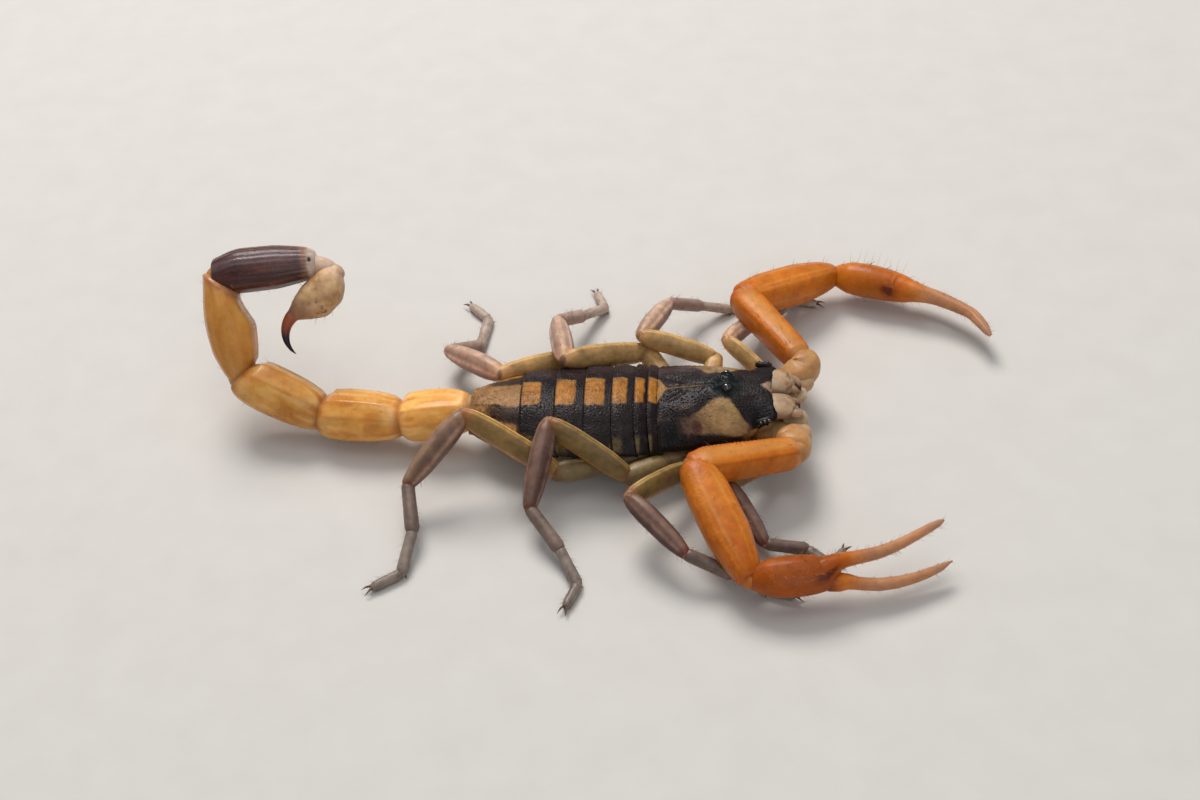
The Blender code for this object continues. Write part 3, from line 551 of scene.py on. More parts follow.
def arch(s):
    """Fall of a back plate from the middle (0) to the edge (1)."""
    a = np.minimum(np.abs(s), 1.0)
    return 0.5 * (1 - np.sqrt(1 - a * a * 0.999)) + 0.5 * a ** 2.2


# ----------------------------------------------------------------------
# tergites
# ----------------------------------------------------------------------
def tergite_tint(i, X, Y, W, front, rear):
    P = np.stack([X, Y, X * 0], -1)
    wob = (fbm(P, 2.2, 5) - 0.5)
    fine = (fbm(P, 7.0, 9) - 0.5)
    span = front - rear
    c = np.broadcast_to(DARK, X.shape + (3,)).copy()
    c = mixc(c, BLACK, np.clip(0.35 + 1.2 * fine, 0, 1))
    ay = np.abs(Y)
    # painted sheen: the plates turn a lighter purple-brown towards the left (+Y) side
    c = mixc(c, lin(0.050, 0.032, 0.034), smooth(1.3, 3.0, Y + wob) * 0.7)
    if i < 6:
        lead = (0.07, 0.17, 0.42, 0.40, 0.52, 0.86)[i]
        top = front - lead
        half = (1.02, 1.06, 1.10, 1.12, 1.08, 0.98)[i]
        m = (smooth(half + 0.09, half - 0.05, ay + wob * 0.24)
             * smooth(top + 0.08, top - 0.06, X + wob * 0.16)
             * smooth(rear + 0.06, rear + 0.14, X))
        hot = mixc(np.broadcast_to(SQUARE, X.shape + (3,)), lin(0.30, 0.11, 0.02), np.clip(0.5 + 2.2 * fine, 0, 1) * 0.6)
        hot = mixc(hot, lin(0.24, 0.12, 0.045), smooth(half * 0.55, half, ay) * 0.45)
        c = mixc(c, hot, m)
        # pale olive corner at the side
        edge = (smooth(0.78, 0.86, ay / W + wob * 0.10) * smooth(rear + span * 0.62, rear + span * 0.42, X)
                * smooth(1.02, 0.96, ay / W))
        c = mixc(c, OLIVE, edge * 0.9)
        # thin purple-brown scatter between square and edge
        c = mixc(c, lin(0.045, 0.028, 0.027), smooth(0.05, 0.35, fine + wob * 0.4) * 0.6 * (1 - m))
    else:
        base = mixc(np.broadcast_to(lin(0.34, 0.175, 0.060), X.shape + (3,)), lin(0.21, 0.095, 0.035), np.clip(0.5 + 2 * fine, 0, 1) * 0.7)
        t = (front - X) / span
        lo, hi = 0.95 - 0.30 * t, 2.15 - 1.15 * t
        band = smooth(lo - 0.12, lo + 0.14, ay + wob * 0.3) * smooth(hi + 0.16, hi - 0.10, ay + wob * 0.3) * smooth(0.78, 0.50, t + wob * 0.2)
        side = smooth(hi, hi + 0.25, ay) * smooth(0.62, 0.30, t)
        c = mixc(base, lin(0.38, 0.17, 0.04), side * 0.7)
        c = mixc(c, DARK, np.clip(band, 0, 1) * 0.92)
        c = mixc(c, DARK, smooth(0.07, 0.02, t) * 0.9 * smooth(0.85, 0.95, ay))
        c = mixc(c, lin(0.08, 0.04, 0.025), smooth(0.90, 1.0, ay / W) * 0.5)
    return c


front = CARAPACE_REAR
for i, rear in enumerate(TERGITE_REAR):
    span = front - rear
    ns, nt = 260, max(30, int(span / 0.028))
    s = np.linspace(-1.0, 1.0, ns)
    s = np.sign(s) * (1 - (1 - np.abs(s)) ** 1.15)
    t = np.linspace(0, 1, nt)
    S, T = np.meshgrid(s, t)
    xr = rear + (0.24 if i < 6 else 0.05) * np.abs(S) ** 3
    xf = front + 0.30
    X = xf + (xr - xf) * T
    W = curve(TRUNK, X, 1) + 0.06 * np.sin(pi * np.clip((front - X) / span, 0, 1)) ** 0.7
    zt, ze = curve(TRUNK, X, 2), curve(TRUNK, X, 3)
    Y = S * W
    Z = zt - (zt - ze) * arch(S)
    tt = np.clip((front - X) / span, -0.6, 1)
    lift = -0.19 + 0.24 * smooth(-0.4, 0.80, tt) - 0.06 * smooth(0.93, 1.0, tt)
    lift = lift - 0.10 * smooth(0.0, -0.3, tt)
    Z = Z + lift
    # granules, finer in front, a row along the rear edge, and a low middle keel
    ramp = smooth(0.12, 0.45, tt)
    g = beads(X, Y, 0.19, i + 1.0, 0.75) * 0.042 * ramp + beads(X, Y, 0.11, i + 31.0, 0.8) * 0.020
    row = np.exp(-((tt - 0.93) * span / 0.06) ** 2) * (0.5 + 0.5 * np.cos(Y * 2 * pi / 0.19)) * 0.030
    mid = np.exp(-(Y / 0.10) ** 2) * 0.045 * smooth(0.25, 0.6, tt) * (0.6 + 0.4 * np.cos(X * 2 * pi / 0.22))
    if i == 6:
        for y0 in (0.95, 1.75):
            y1 = y0 * (1 - 0.35 * tt)
            mid = mid + np.exp(-((np.abs(Y) - y1) / 0.08) ** 2) * 0.06 * smooth(0.3, 0.5, tt) * (0.6 + 0.4 * np.cos(X * 2 * pi / 0.2))
    Z = Z + g + row + mid
    Z = Z - 0.04 * np.exp(-((np.abs(S) - 0.62) / 0.10) ** 2)      # shallow side furrow
    top = np.stack([X, Y, Z], -1)
    inward = np.stack([X * 0, -np.sign(S) * 0.10 * smooth(0.85, 1, np.abs(S)), X * 0 - 0.11], -1)
    bottom = top + inward
    bottom[..., 2] -= (g + row)
    V, F = shell_sheet(top, bottom)
    c = tergite_tint(i, X, Y, W, front, rear)
    # painted shade: the underside copy of each plate is made 0.8 times as bright
    c = np.vstack([c.reshape(-1, 3), c.reshape(-1, 3) * 0.8])
    Soup().add(V, F, c).make("tergite_%d" % (i + 1), M_PLATE, ["mesosoma_%d" % (i + 1)],
                             "plates_dark" if i < 6 else "cuticle_olive")
    front = rear


# ----------------------------------------------------------------------
# carapace
# ----------------------------------------------------------------------
def ellipse(X, Y, cx, cy, a, b, ang=0.0):
    ca, sa = cos(radians(ang)), sin(radians(ang))
    dx, dy = X - cx, Y - cy
    return np.sqrt(((dx * ca + dy * sa) / a) ** 2 + ((dy * ca - dx * sa) / b) ** 2)


def carapace_tint(X, Y, W):
    P = np.stack([X, Y, X * 0], -1)
    wob, fine = fbm(P, 1.7, 15) - 0.5, fbm(P, 6.0, 19) - 0.5
    ay = np.abs(Y)
    c = np.broadcast_to(DARK, X.shape + (3,)).copy()
    c = mixc(c, BLACK, np.clip(0.35 + 1.4 * fine, 0, 1))
    # purple-brown zones beside the middle; along the upper, left (+Y) side a lighter purple-brown is painted sheen
    c = mixc(c, lin(0.060, 0.036, 0.036), smooth(0.02, 0.22, wob + 0.35 * fine) * smooth(1.2, 2.2, ay) * smooth(7.4, 6.0, X) * 0.75)
    c = mixc(c, lin(0.070, 0.046, 0.050), smooth(0.7, 2.4, Y + wob) * smooth(8.6, 7.6, X) * 0.75)
    # tan patch on the side
    w = wob * 0.5 + fine * 0.35
    upper = 1.22 + 0.10 * np.sin(X * 2.3) + 1.05 * smooth(7.4, 9.0, X) ** 1.3 + 0.95 * smooth(6.6, 5.2, X)
    lower = 2.98 - 0.10 * smooth(6.0, 8.6, X)
    tan = (smooth(-0.10, 0.14, ay - upper + w * 0.55) * smooth(0.05, -0.12, ay - lower + w * 0.10)
           * smooth(4.3, 6.3, X + w * 1.2) * smooth(9.15, 8.75, X + w * 0.3))
    tc = mixc(np.broadcast_to(lin(0.27, 0.155, 0.065), X.shape + (3,)), lin(0.38, 0.24, 0.10), smooth(6.6, 7.6, X) * smooth(9.0, 8.0, X) * 0.7)
    tc = mixc(tc, lin(0.13, 0.060, 0.034), np.clip(0.5 + 3.0 * fine, 0, 1) * (0.10 + 0.55 * smooth(7.0, 5.4, X)))
    tc = mixc(tc, lin(0.075, 0.036, 0.030), smooth(6.5, 4.9, X + w) * 0.75)
    c = mixc(c, tc, tan)
    c = mixc(c, REDBR, smooth(1.0, 0.5, ellipse(X, ay, 5.80, 2.62, 0.42, 0.30, 30) + w) * 0.9)
    c = mixc(c, REDBR, smooth(1.0, 0.5, ellipse(X, ay, 8.95, 2.62, 0.22, 0.30) + w) * 0.6)
    c = mixc(c, lin(0.10, 0.055, 0.035), smooth(1.0, 0.6, ellipse(X, ay, 5.2, 1.55, 0.55, 0.22, -10) + w) * 0.45)
    # thin tan line along the middle, widening to the rear
    half = 0.05 + 1.00 * smooth(4.10, 3.35, X)
    line = smooth(half + 0.10, half - 0.04, ay + w * 0.14) * smooth(6.55, 5.9, X + w) * (0.35 + 0.65 * smooth(4.2, 3.9, X))
    c = mixc(c, lin(0.34, 0.17, 0.05), line * 0.92)
    # eye hill, greenish black
    c = mixc(c, lin(0.012, 0.017, 0.017), smooth(1.25, 0.75, ellipse(X, Y, 7.5, 0, 1.05, 0.85)) * 0.9)
    # cream wedge in the middle of the front edge and along the front margin
    wedge = smooth(0.12, -0.12, ay - (X - 9.55) * 0.70 + w * 0.3) * smooth(9.5, 9.75, X)
    c = mixc(c, lin(0.34, 0.23, 0.16), wedge * 0.9)
    lob = smooth(1.05, 0.8, ellipse(X, ay, 9.75, 1.85, 0.95, 0.80, 0) + w * 0.3)
    c = mixc(c, BLACK, lob * 0.9)
    # front side corner, orange brown
    c = mixc(c, lin(0.34, 0.17, 0.05), smooth(1.0, 0.6, ellipse(X, ay, 9.25, 2.72, 0.50, 0.20, 10)) * 0.8)
    # dark line along the side margin and in the rear corner
    c = mixc(c, DARK * 0.8, smooth(0.955, 0.985, ay / W + w * 0.03) * smooth(9.0, 8.4, X) * 0.9)
    c = mixc(c, BLACK, smooth(1.0, 0.7, ellipse(X, ay, 3.9, 3.0, 1.0, 0.75)) * 0.8)
    return c


ns, nt = 300, 280
s = np.linspace(-1, 1, ns)
s = np.sign(s) * (1 - (1 - np.abs(s)) ** 1.1)
t = np.linspace(0, 1, nt)
S, T = np.meshgrid(s, t)
notch = FRONT_NOTCH * np.clip(1 - np.abs(S) / 0.80, 0, 1) ** 1.4 + 0.55 * smooth(0.86, 1.0, np.abs(S)) ** 2
xr = CARAPACE_REAR - 0.02 + 0.10 * np.abs(S) ** 3
X = xr + (CARAPACE_FRONT - notch - xr) * T
W = curve(SHELL, X, 1)
zt, ze = curve(SHELL, X, 2), curve(SHELL, X, 3)
Y = S * W
Z = zt - (zt - ze) * arch(S)
# eye hill with two brows and a furrow between them
hill = 0.34 * np.exp(-(np.abs(X - 7.55) / 0.62) ** 2.6 - (np.abs(Y) / 0.60) ** 3)
Z = Z + hill
Z = Z + 0.12 * np.exp(-((X - 7.55) / 0.60) ** 4) * np.exp(-((np.abs(Y) - 0.42) / 0.11) ** 2)
Z = Z - 0.10 * np.exp(-(Y / 0.13) ** 2) * np.exp(-((X - 7.5) / 0.9) ** 4)
# middle furrow behind, forked shallow furrows at the rear, side dips
Z = Z - 0.07 * np.exp(-(Y / 0.12) ** 2) * smooth(3.6, 4.2, X) * smooth(6.9, 6.3, X)
Z = Z - 0.09 * np.exp(-((np.abs(Y) - (0.35 + 0.55 * (5.2 - X))) / 0.22) ** 2) * smooth(3.7, 4.3, X) * smooth(5.4, 4.9, X)
Z = Z - 0.10 * np.exp(-((X - 6.4) / 0.40) ** 2 - ((np.abs(Y) - 1.45) / 0.55) ** 2)
Z = Z + 0.07 * np.exp(-((X - 5.1) / 0.75) ** 2 - ((np.abs(Y) - 1.75) / 0.6) ** 2)
Z = Z + 0.05 * np.exp(-((X - 8.9) / 0.5) ** 2 - ((np.abs(Y) - 0.85) / 0.16) ** 2)
# front lobes roll down at the rim
Z = Z - 0.10 * smooth(0.965, 1.0, T) - 0.06 * smooth(0.985, 1.0, T)
Z = Z - 0.05 * smooth(0.02, 0.0, T)
g = (beads(X, Y, 0.20, 3.0, 0.72) * 0.042 + beads(X, Y, 0.115, 37.0, 0.8) * 0.020)
g = g * (1 - 0.8 * np.exp(-((X - 7.6) / 0.35) ** 2 - ((np.abs(Y) - 0.62) / 0.30) ** 2))
rim = np.exp(-((np.abs(S) - 0.985) / 0.018) ** 2) * 0.04 * (0.6 + 0.4 * np.cos(X * 2 * pi / 0.2))
Z = Z + g + rim
top = np.stack([X, Y, Z], -1)
side_skirt = smooth(0.90, 1.0, np.abs(S))
bottom = top + np.stack([X * 0, -np.sign(S) * 0.16 * side_skirt, X * 0 - 0.13 - 0.10 * side_skirt], -1)
bottom[..., 2] -= g + rim
V, F = shell_sheet(top, bottom)
c = carapace_tint(X, Y, W)
# painted shade: the underside copy of the shell is made 0.8 times as bright
sp = Soup().add(V, F, np.vstack([c.reshape(-1, 3), c.reshape(-1, 3) * 0.8]))
sp.make("carapace_shell", M_PLATE, ["carapace"], "plates_dark")


def ball(centre, r, axis, squash=1.0, m=32, n=18, frac=0.62):
    """A dome of a sphere round `axis`; squash flattens it along the axis."""
    axis = unit(axis)
    s, u = frame_of(axis, (0, 0, 1) if abs(axis[2]) < 0.95 else (1, 0, 0))
    a = np.linspace(0.02, pi * frac, n)
    C = centre + np.outer(np.cos(a) * r * squash, axis)
    V, F, _, _ = sweep(C, np.tile(s, (n, 1)), np.tile(u, (n, 1)), np.sin(a) * r, np.sin(a) * r, m)
    return V, F


for side, tag in ((-1, "R"), (1, "L")):
    n = unit(v3(0.12, side * 0.86, 0.48))
    c0 = v3(7.60, side * 0.575, 4.965)
    sp = Soup()
    V, F = ball(c0, 0.285, n)
    sp.add(V, F, srgb(10, 11, 12))
    sp.mi = 1
    # raised rim round the lens
    s_, u_ = frame_of(n, (1, 0, 0))
    ph = np.linspace(0, 2 * pi, 40, endpoint=False)
    ring_c = c0 + n * 0.02 + 0.29 * (np.cos(ph)[:, None] * s_ + np.sin(ph)[:, None] * u_)
    q = np.linspace(0, 2 * pi, 10, endpoint=False)
    rad = unit(ring_c - c0 - n * 0.02)
    V = (ring_c[:, None] + 0.052 * (np.cos(q)[None, :, None] * rad[:, None] + np.sin(q)[None, :, None] * n)).reshape(-1, 3)
    i_, j_ = np.arange(40)[:, None], np.arange(10)[None]
    F = np.stack([i_ * 10 + j_, i_ * 10 + (j_ + 1) % 10, ((i_ + 1) % 40) * 10 + (j_ + 1) % 10, ((i_ + 1) % 40) * 10 + j_], -1).reshape(-1, 4)
    sp.add(V, outward(V, [F]), srgb(30, 34, 32))
    sp.make("eye_middle_" + tag, [M_EYE, M_PLATE], ["eye_median_" + tag], "eye_lens")
    # side eyes: three in a row and two small ones behind, on a low ridge
    sp = Soup()
    base = v3(9.86, side * 2.50, 4.02)
    d = unit(v3(1.0, -side * 0.24, 0.12))
    nrm = unit(v3(0.10, side * 0.92, 0.30))
    for k, (off, down, r) in enumerate(((-0.30, 0.0, 0.105), (-0.06, 0.02, 0.125), (0.20, 0.0, 0.125), (-0.42, -0.15, 0.06), (0.36, -0.14, 0.06))):
        V, F = ball(base + d * off + v3(0, 0, down) + nrm * 0.05, r, nrm, m=20, n=12)
        sp.add(V, F, srgb(12, 12, 13))
    sp.mi = 1
    V, F, _, _ = podomere(base - d * 0.50 - nrm * 0.10, base + d * 0.42 - nrm * 0.10, ((0, .13), (.3, .20), (.7, .20), (1, .13)),
                          ((0, .15), (.3, .21), (.7, .21), (1, .15)), m=20, step=0.05)
    sp.add(V, F, srgb(34, 28, 26))
    sp.make("eyes_side_" + tag, [M_EYE, M_PLATE], ["eyes_lateral_" + tag], "eye_lens")


# ----------------------------------------------------------------------
# chelicerae
# ----------------------------------------------------------------------
def arc_path(pts, n):
    """Smooth line through points."""
    pts = np.asarray(pts, float)
    k = np.concatenate([[0], np.cumsum(np.linalg.norm(np.diff(pts, axis=0), axis=1))])
    tab = [[(a, p[c]) for a, p in zip(k, pts)] for c in range(3)]
    t = np.linspace(0, k[-1], n)
    return np.stack([curve(tab[c], t) for c in range(3)], -1)


def tube_path(C, W, H, m=20, power=2.0, up=(0, 0, 1), radial=None):
    """Sweep along any line with its own turning frame."""
    C = np.asarray(C, float)
    D = unit(np.gradient(C, axis=0))
    S = unit(np.cross(D, np.tile(up, (len(C), 1))))
    U = unit(np.cross(S, D))
    return sweep(C, S, U, W, H, m, power, radial)


for side, tag in ((-1, "R"), (1, "L")):
    sp = Soup()
    # manus
    xs = np.linspace(9.75, 11.62, 44)
    k = (xs - 9.75) / 1.87
    C = np.stack([xs, side * (1.00 + 0.03 * np.sin(pi * k)), 3.86 - 0.10 * k ** 2], -1)
    Wm = curve(((0, .60), (.1, .80), (.5, .90), (.8, .80), (.93, .60), (1, .30)), k)
    Hm = curve(((0, .36), (.1, .44), (.4, .50), (.7, .44), (.9, .33), (1, .18)), k)
    V, F, uu, tt = sweep(C, np.tile((0, side, 0), (44, 1)), np.tile((0, 0, 1), (44, 1)), Wm, Hm, 40, 2.5,
                         lambda u, th: 0.02 * np.exp(-((u - 0.70) / 0.10) ** 2) + 0.008 * np.cos(th * 9 + u * 9))
    spots = smooth(0.50, 0.64, noise3(V, 3.2, 41)) * smooth(0.35, 0.75, uu)
    c = mixc(np.broadcast_to(CREAM, (len(V), 3)), lin(0.34, 0.19, 0.10), spots * 0.8)
    c = mixc(c, lin(0.16, 0.065, 0.035), smooth(0.60, 0.72, noise3(V, 6.5, 44)) * smooth(0.5, 0.9, uu) * 0.7)
    sp.add(V, F, c)
    # fixed finger, inner, with teeth
    P1 = arc_path([(11.30, side * 0.62, 3.78), (11.62, side * 0.50, 3.70), (11.84, side * 0.52, 3.50), (11.90, side * 0.66, 3.30)], 26)
    r1 = np.linspace(0.27, 0.04, 26)
    V, F, uu, tt = tube_path(P1, r1, r1 * 1.1, 18)
    sp.add(V, F, mixc(np.broadcast_to(lin(0.38, 0.22, 0.12), (len(V), 3)), srgb(70, 34, 24), smooth(0.35, 0.85, uu)))
    # movable finger, outer
    P2 = arc_path([(11.25, side * 1.46, 3.72), (11.60, side * 1.46, 3.62), (11.90, side * 1.20, 3.48), (12.00, side * 0.86, 3.34)], 30)
    r2 = curve(((0, .24), (.3, .26), (.7, .17), (1, .035)), np.linspace(0, 1, 30))
    V, F, uu, tt = tube_path(P2, r2, r2 * 1.05, 18)
    sp.add(V, F, mixc(np.broadcast_to(lin(0.42, 0.26, 0.16), (len(V), 3)), srgb(64, 30, 22), smooth(0.55, 0.92, uu)))
    for j, (a, ln) in enumerate(((0.42, .16), (0.58, .20), (0.74, .15))):
        q = P2[int(a * 29)]
        cone(sp, q, (-0.35, -side * 0.9, -0.1), ln + 0.12, 0.075, srgb(60, 28, 20), steps=5, sides=8)
        q = P1[int(a * 25)]
        cone(sp, q, (0.25, side * 0.95, -0.15), ln + 0.10, 0.065, srgb(60, 28, 20), steps=5, sides=8)
    # brush of short hairs below
    for j in range(34):
        a = rng.random()
        q = v3(11.1 + 0.75 * a, side * (0.35 + 1.1 * rng.random()), 3.42 - 0.05 * a)
        cone(HAIR, q, (0.9, rng.normal() * 0.25, -0.45), 0.40 + 0.3 * rng.random(), 0.014, srgb(190, 150, 104),
             uv=(0.02 + 0.05 * rng.random(), 0.9 + 0.05 * a))
    sp.make("chelicera_pincer_" + tag, M_CREAM, ["chelicera_" + tag], "cuticle_cream", sharp=70)


# ----------------------------------------------------------------------
# limbs
# ----------------------------------------------------------------------
MEMBRANE = Soup()      # one skin: the body's own and that of every joint


def joint_skin(p, w, h, d, col=SKIN, stretch=1.0):
    d = unit(d)
    s, u = frame_of(d)
    a = np.linspace(0.03, pi - 0.03, 12)
    C = p + np.outer(np.cos(a) * w * stretch, d)
    V, F, _, _ = sweep(C, np.tile(s, (12, 1)), np.tile(u, (12, 1)), np.sin(a) * w, np.sin(a) * h, 20)
    MEMBRANE.add(V, F, col)


def bristles(surface, count, length, r, col, region=None, lean=0.6, d=None, uv0=(0, 0), jitter=0.25):
    """Hairs rooted on a swept surface (V, F, T, theta), leaning along d."""
    V, F, T, th = surface
    centre = V[:-2].mean(0)
    q = F[0]
    pick = rng.integers(0, len(q), count * 6)
    done = 0
    for f in pick:
        ids = q[f]
        t0, a0 = T[ids].mean(), th[ids[0]]
        if region is not None and not region(t0, a0):
            continue
        root = V[ids].mean(0)
        nrm = unit(np.cross(V[ids[2]] - V[ids[0]], V[ids[3]] - V[ids[1]]))
        dd = unit(nrm + lean * unit(d) + rng.normal(size=3) * jitter)
        ln = length * (0.6 + 0.8 * rng.random())
        cone(HAIR, root - nrm * 0.01, dd, ln, r * (0.8 + 0.4 * rng.random()), col * (0.7 + 0.6 * rng.random()),
             bend=unit(d) * 0.25, uv=(uv0[0] + 0.09 * np.clip(t0, 0, 1), uv0[1] + 0.05 * a0 / 6.3), sides=3)
        done += 1
        if done >= count:
            break


LIMB_UV = [0]


def next_uv():
    k = LIMB_UV[0]
    LIMB_UV[0] += 1
    return (0.01 + 0.098 * (k % 10), 0.01 + 0.058 * (k // 10 % 14))


def leg_tint(part, T, th, V, n):
    """Colours of a leg piece; theta 0 is its upper edge, 180 degrees its lower."""
    upn, dn = np.clip(np.cos(th), 0, 1), np.clip(-np.cos(th), 0, 1)
    fine = fbm(V, 2.5, 60) - 0.5
    face = np.abs(np.sin(th)) ** 3
    one = np.ones((len(V), 3))
    near = V[:, 1].mean() < 0
    if part == "trochanter":
        c = one * lin(0.27, 0.185, 0.085)
        c = mixc(c, lin(0.17, 0.135, 0.075), face * 0.6)
        c = mixc(c, lin(0.36, 0.17, 0.04), dn ** 2 * 0.5)
        c = mixc(c, lin(0.20, 0.075, 0.03), smooth(0.88, 1.05, T) * 0.6)
    elif part == "femur":
        c = one * lin(0.34, 0.21, 0.065)
        c = mixc(c, lin(0.155, 0.120, 0.048), 0.85)
        c = mixc(c, lin(0.50, 0.21, 0.035), np.maximum(dn ** 3 * 0.8, keel(th, [238], 15)) * 0.90)
        # painted highlight: a pale line along the upper edge
        c = mixc(c, lin(0.74, 0.55, 0.25), np.maximum(keel(th, [24], 13), keel(th, [-8], 6) * 0.4) * 0.90)
        c = mixc(c, lin(0.17, 0.10, 0.05), smooth(0.0, 0.25, fine) * 0.5)
        c = mixc(c, lin(0.26, 0.09, 0.045), smooth(0.84, 1.0, T) * 0.6)
        c = mixc(c, lin(0.24, 0.13, 0.06), smooth(0.14, 0.0, T) * 0.5)
    elif part == "patella":
        c = one * lin(0.20, 0.12, 0.085)
        c = mixc(c, lin(0.115, 0.062, 0.050), 0.8)
        # painted highlight: pale lines down both sides and, below, a lighter upward-facing top
        c = mixc(c, lin(0.46, 0.30, 0.22), np.maximum(keel(th, [50], 12), keel(th, [288], 12)) * 0.80)
        c = mixc(c, lin(0.095, 0.045, 0.038), smooth(-0.05, 0.2, fine) * 0.5)
        c = mixc(c, lin(0.40, 0.27, 0.19), upn ** 5 * 0.6)
        c = mixc(c, lin(0.28, 0.15, 0.075), smooth(0.22, 0.0, T) * 0.6)
        c = mixc(c, lin(0.22, 0.045, 0.02), smooth(0.92, 1.0, T) * 0.7)
    elif part == "tibia":
        c = one * lin(0.22, 0.155, 0.125)
        c = mixc(c, lin(0.14, 0.085, 0.07), face * 0.5 + smooth(-0.05, 0.25, fine) * 0.3)
        c = mixc(c, lin(0.22, 0.06, 0.03), smooth(0.07, 0.0, T) * 0.7)
    else:
        c = one * lin(0.27, 0.215, 0.18)
        c = mixc(c, lin(0.18, 0.135, 0.11), smooth(0, 0.3, fine) * 0.6)
        c = mixc(c, lin(0.24, 0.12, 0.075), smooth(0.10, 0.0, T) * 0.5)
    if near:       # painted shade: the right legs are made duller, the hindmost a little less
        if part == "trochanter":
            return c * v3(0.86, 0.84, 0.72)
        if part == "femur":
            return c * (v3(1.02, 0.88, 0.70) if n < 4 else v3(1.42, 1.14, 0.80))
        if part == "patella":
            return c * (v3(0.68, 0.60, 0.62) if n < 4 else v3(1.10, 1.02, 0.92))
        return c * 0.80
    # painted light: the left legs are brightened, their trochanter and femur also warmed
    if part in ("trochanter", "femur"):
        return mixc(c, lin(0.66, 0.37, 0.14), 0.50) * (1.22 + 0.5 * fine[:, None])
    return c * (1.85 if part == "patella" else 1.45) + lin(0.035, 0.020, 0.012)


ARM_AIM = {1: (8.6, 0.4), 2: (7.6, 0.6), 3: (7.2, 0.6), 4: (6.6, 0.9)}
COXAE = Soup()
for tag in ("R1", "R2", "R3", "R4", "L1", "L2", "L3", "L4"):
    side = 1 if tag[0] == "L" else -1
    n = int(tag[1])
    L = LEG_LENGTHS[n]
    x, y, z = COXA_END[n]
    pts = [v3(x, side * y, z)]
    ds = []
    for k, ((h, p), length) in enumerate(zip(POSE[tag], L)):
        d = direction(h, p, side)
        if k >= 4:
            drop = pts[-1][2] - FOOT_LEVEL - (0.04 if k == 4 else 0.0)
            c_ = min(0.95, max(0.0, drop / length))
            d = direction(h, 0, side) * sqrt(1 - c_ * c_) + v3(0, 0, -c_)
        ds.append(d)
        pts.append(pts[-1] + d * length)
    r = LEG_RADII[n]

    # coxa, part of the underside
    ax, ay_ = ARM_AIM[n]
    inner = v3(ax, side * ay_, 1.62)
    outer = pts[0] + unit(pts[0] - inner) * 0.05
    V, F, T, th = podomere(inner, outer, ((0, .42), (.3, r[0] * 1.15), (.75, r[0] * 1.18), (1, r[0] * 0.95)),
                           ((0, .40), (.3, .52), (.75, r[0] * 1.0), (1, r[0] * 0.95)), end=0.4, m=30, power=2.6, bow=-0.05)
    cc = mixc(np.ones((len(V), 3)) * lin(0.24, 0.165, 0.085), lin(0.14, 0.085, 0.04), smooth(0, 0.3, fbm(V, 1.6, 70) - 0.5) * 0.6)
    cc = mixc(cc, srgb(96, 66, 44), smooth(0.90, 1.0, T) * 0.6)
    COXAE.add(V, F, cc)

    # trochanter and femur
    sp = Soup()
    t0, t1 = pts[0] - ds[0] * 0.12, pts[1]
    A = podomere(t0, t1, ((0, r[0] * .86), (.3, r[1]), (.75, r[1] * 1.02), (1, r[1] * .86)),
                 ((0, r[0] * .86), (.3, r[1]), (.75, r[1] * 1.05), (1, r[1] * .9)), start=0.3, end=0.75, m=32, step=0.08,
                 radial=lambda u, q: 0.03 * keel(q, [20, -20], 7) * np.sin(pi * np.clip(u, 0, 1)))
    sp.add(A[0], A[1], leg_tint("trochanter", A[2], A[3], A[0], n))
    f0 = pts[1] + ds[1] * r[1] * 0.05
    kw = ((0, r[2] * .60), (.07, r[2] * .74), (.35, r[2] * .88), (.72, r[2] * .86), (.93, r[3] * .98), (1, r[3] * .80))
    kh = ((0, r[2] * .74), (.08, r[2] * 1.02), (.34, r[2] * 1.27), (.66, r[2] * 1.26), (.90, r[2] * 1.04), (1, r[3] * .86))
    A = podomere(f0, pts[2], kw, kh, start=0.4, end=0.60, m=40, step=0.08, power=1.75, bow=0.06,
                 radial=lambda u, q: (0.050 * keel(q, [12, -12, 168, 192], 5) * (0.80 + 0.20 * np.cos(u * 120)))
                 * smooth(0.0, 0.12, u) * smooth(1.0, 0.9, u))
    sp.add(A[0], A[1], leg_tint("femur", A[2], A[3], A[0], n))
    sp.make("leg_%s_thigh" % tag, M_LEG, ["leg_%s_femur" % tag], "cuticle_olive")
    bristles((A[0], A[1], A[2], A[3]), 26, 0.30, 0.013, srgb(150, 112, 70), d=ds[1], uv0=next_uv(), lean=0.8)
    joint_skin(pts[1], r[1] * 0.66, r[1] * 0.66, ds[1], lin(0.30, 0.19, 0.10))
    joint_skin(pts[2], r[3] * 0.70, r[3] * 0.74, ds[2], lin(0.28, 0.15, 0.09))

    # patella
    p0 = pts[2] + ds[2] * r[3] * 0.05
    pw = ((0, r[4] * .78), (.07, r[4] * .96), (.32, r[4] * 1.14), (.66, r[4] * 1.08), (.94, r[4] * .78), (1, r[4] * .62))
    ph_ = ((0, r[4] * .72), (.07, r[4] * 1.00), (.32, r[4] * 1.30), (.66, r[4] * 1.22), (.94, r[4] * .84), (1, r[4] * .70))
    A = podomere(p0, pts[3], pw, ph_, start=0.45, end=0.45, m=40, step=0.08, power=1.85, bow=0.04,
                 radial=lambda u, q: (0.045 * keel(q, [14, -14, 166, 194], 5) + 0.030 * keel(q, [90, 270], 6))
                 * smooth(0.0, 0.1, u) * smooth(1.0, 0.92, u))
    sp = Soup().add(A[0], A[1], leg_tint("patella", A[2], A[3], A[0], n))
    sp.make("leg_%s_knee_piece" % tag, M_LEG, ["leg_%s_patella" % tag], "cuticle_mauve")
    bristles((A[0], A[1], A[2], A[3]), 30, 0.32, 0.013, srgb(140, 104, 70), d=ds[2], uv0=next_uv(), lean=0.8)
    joint_skin(pts[3], r[5] * 0.74, r[5] * 0.78, ds[3], lin(0.26, 0.15, 0.11))

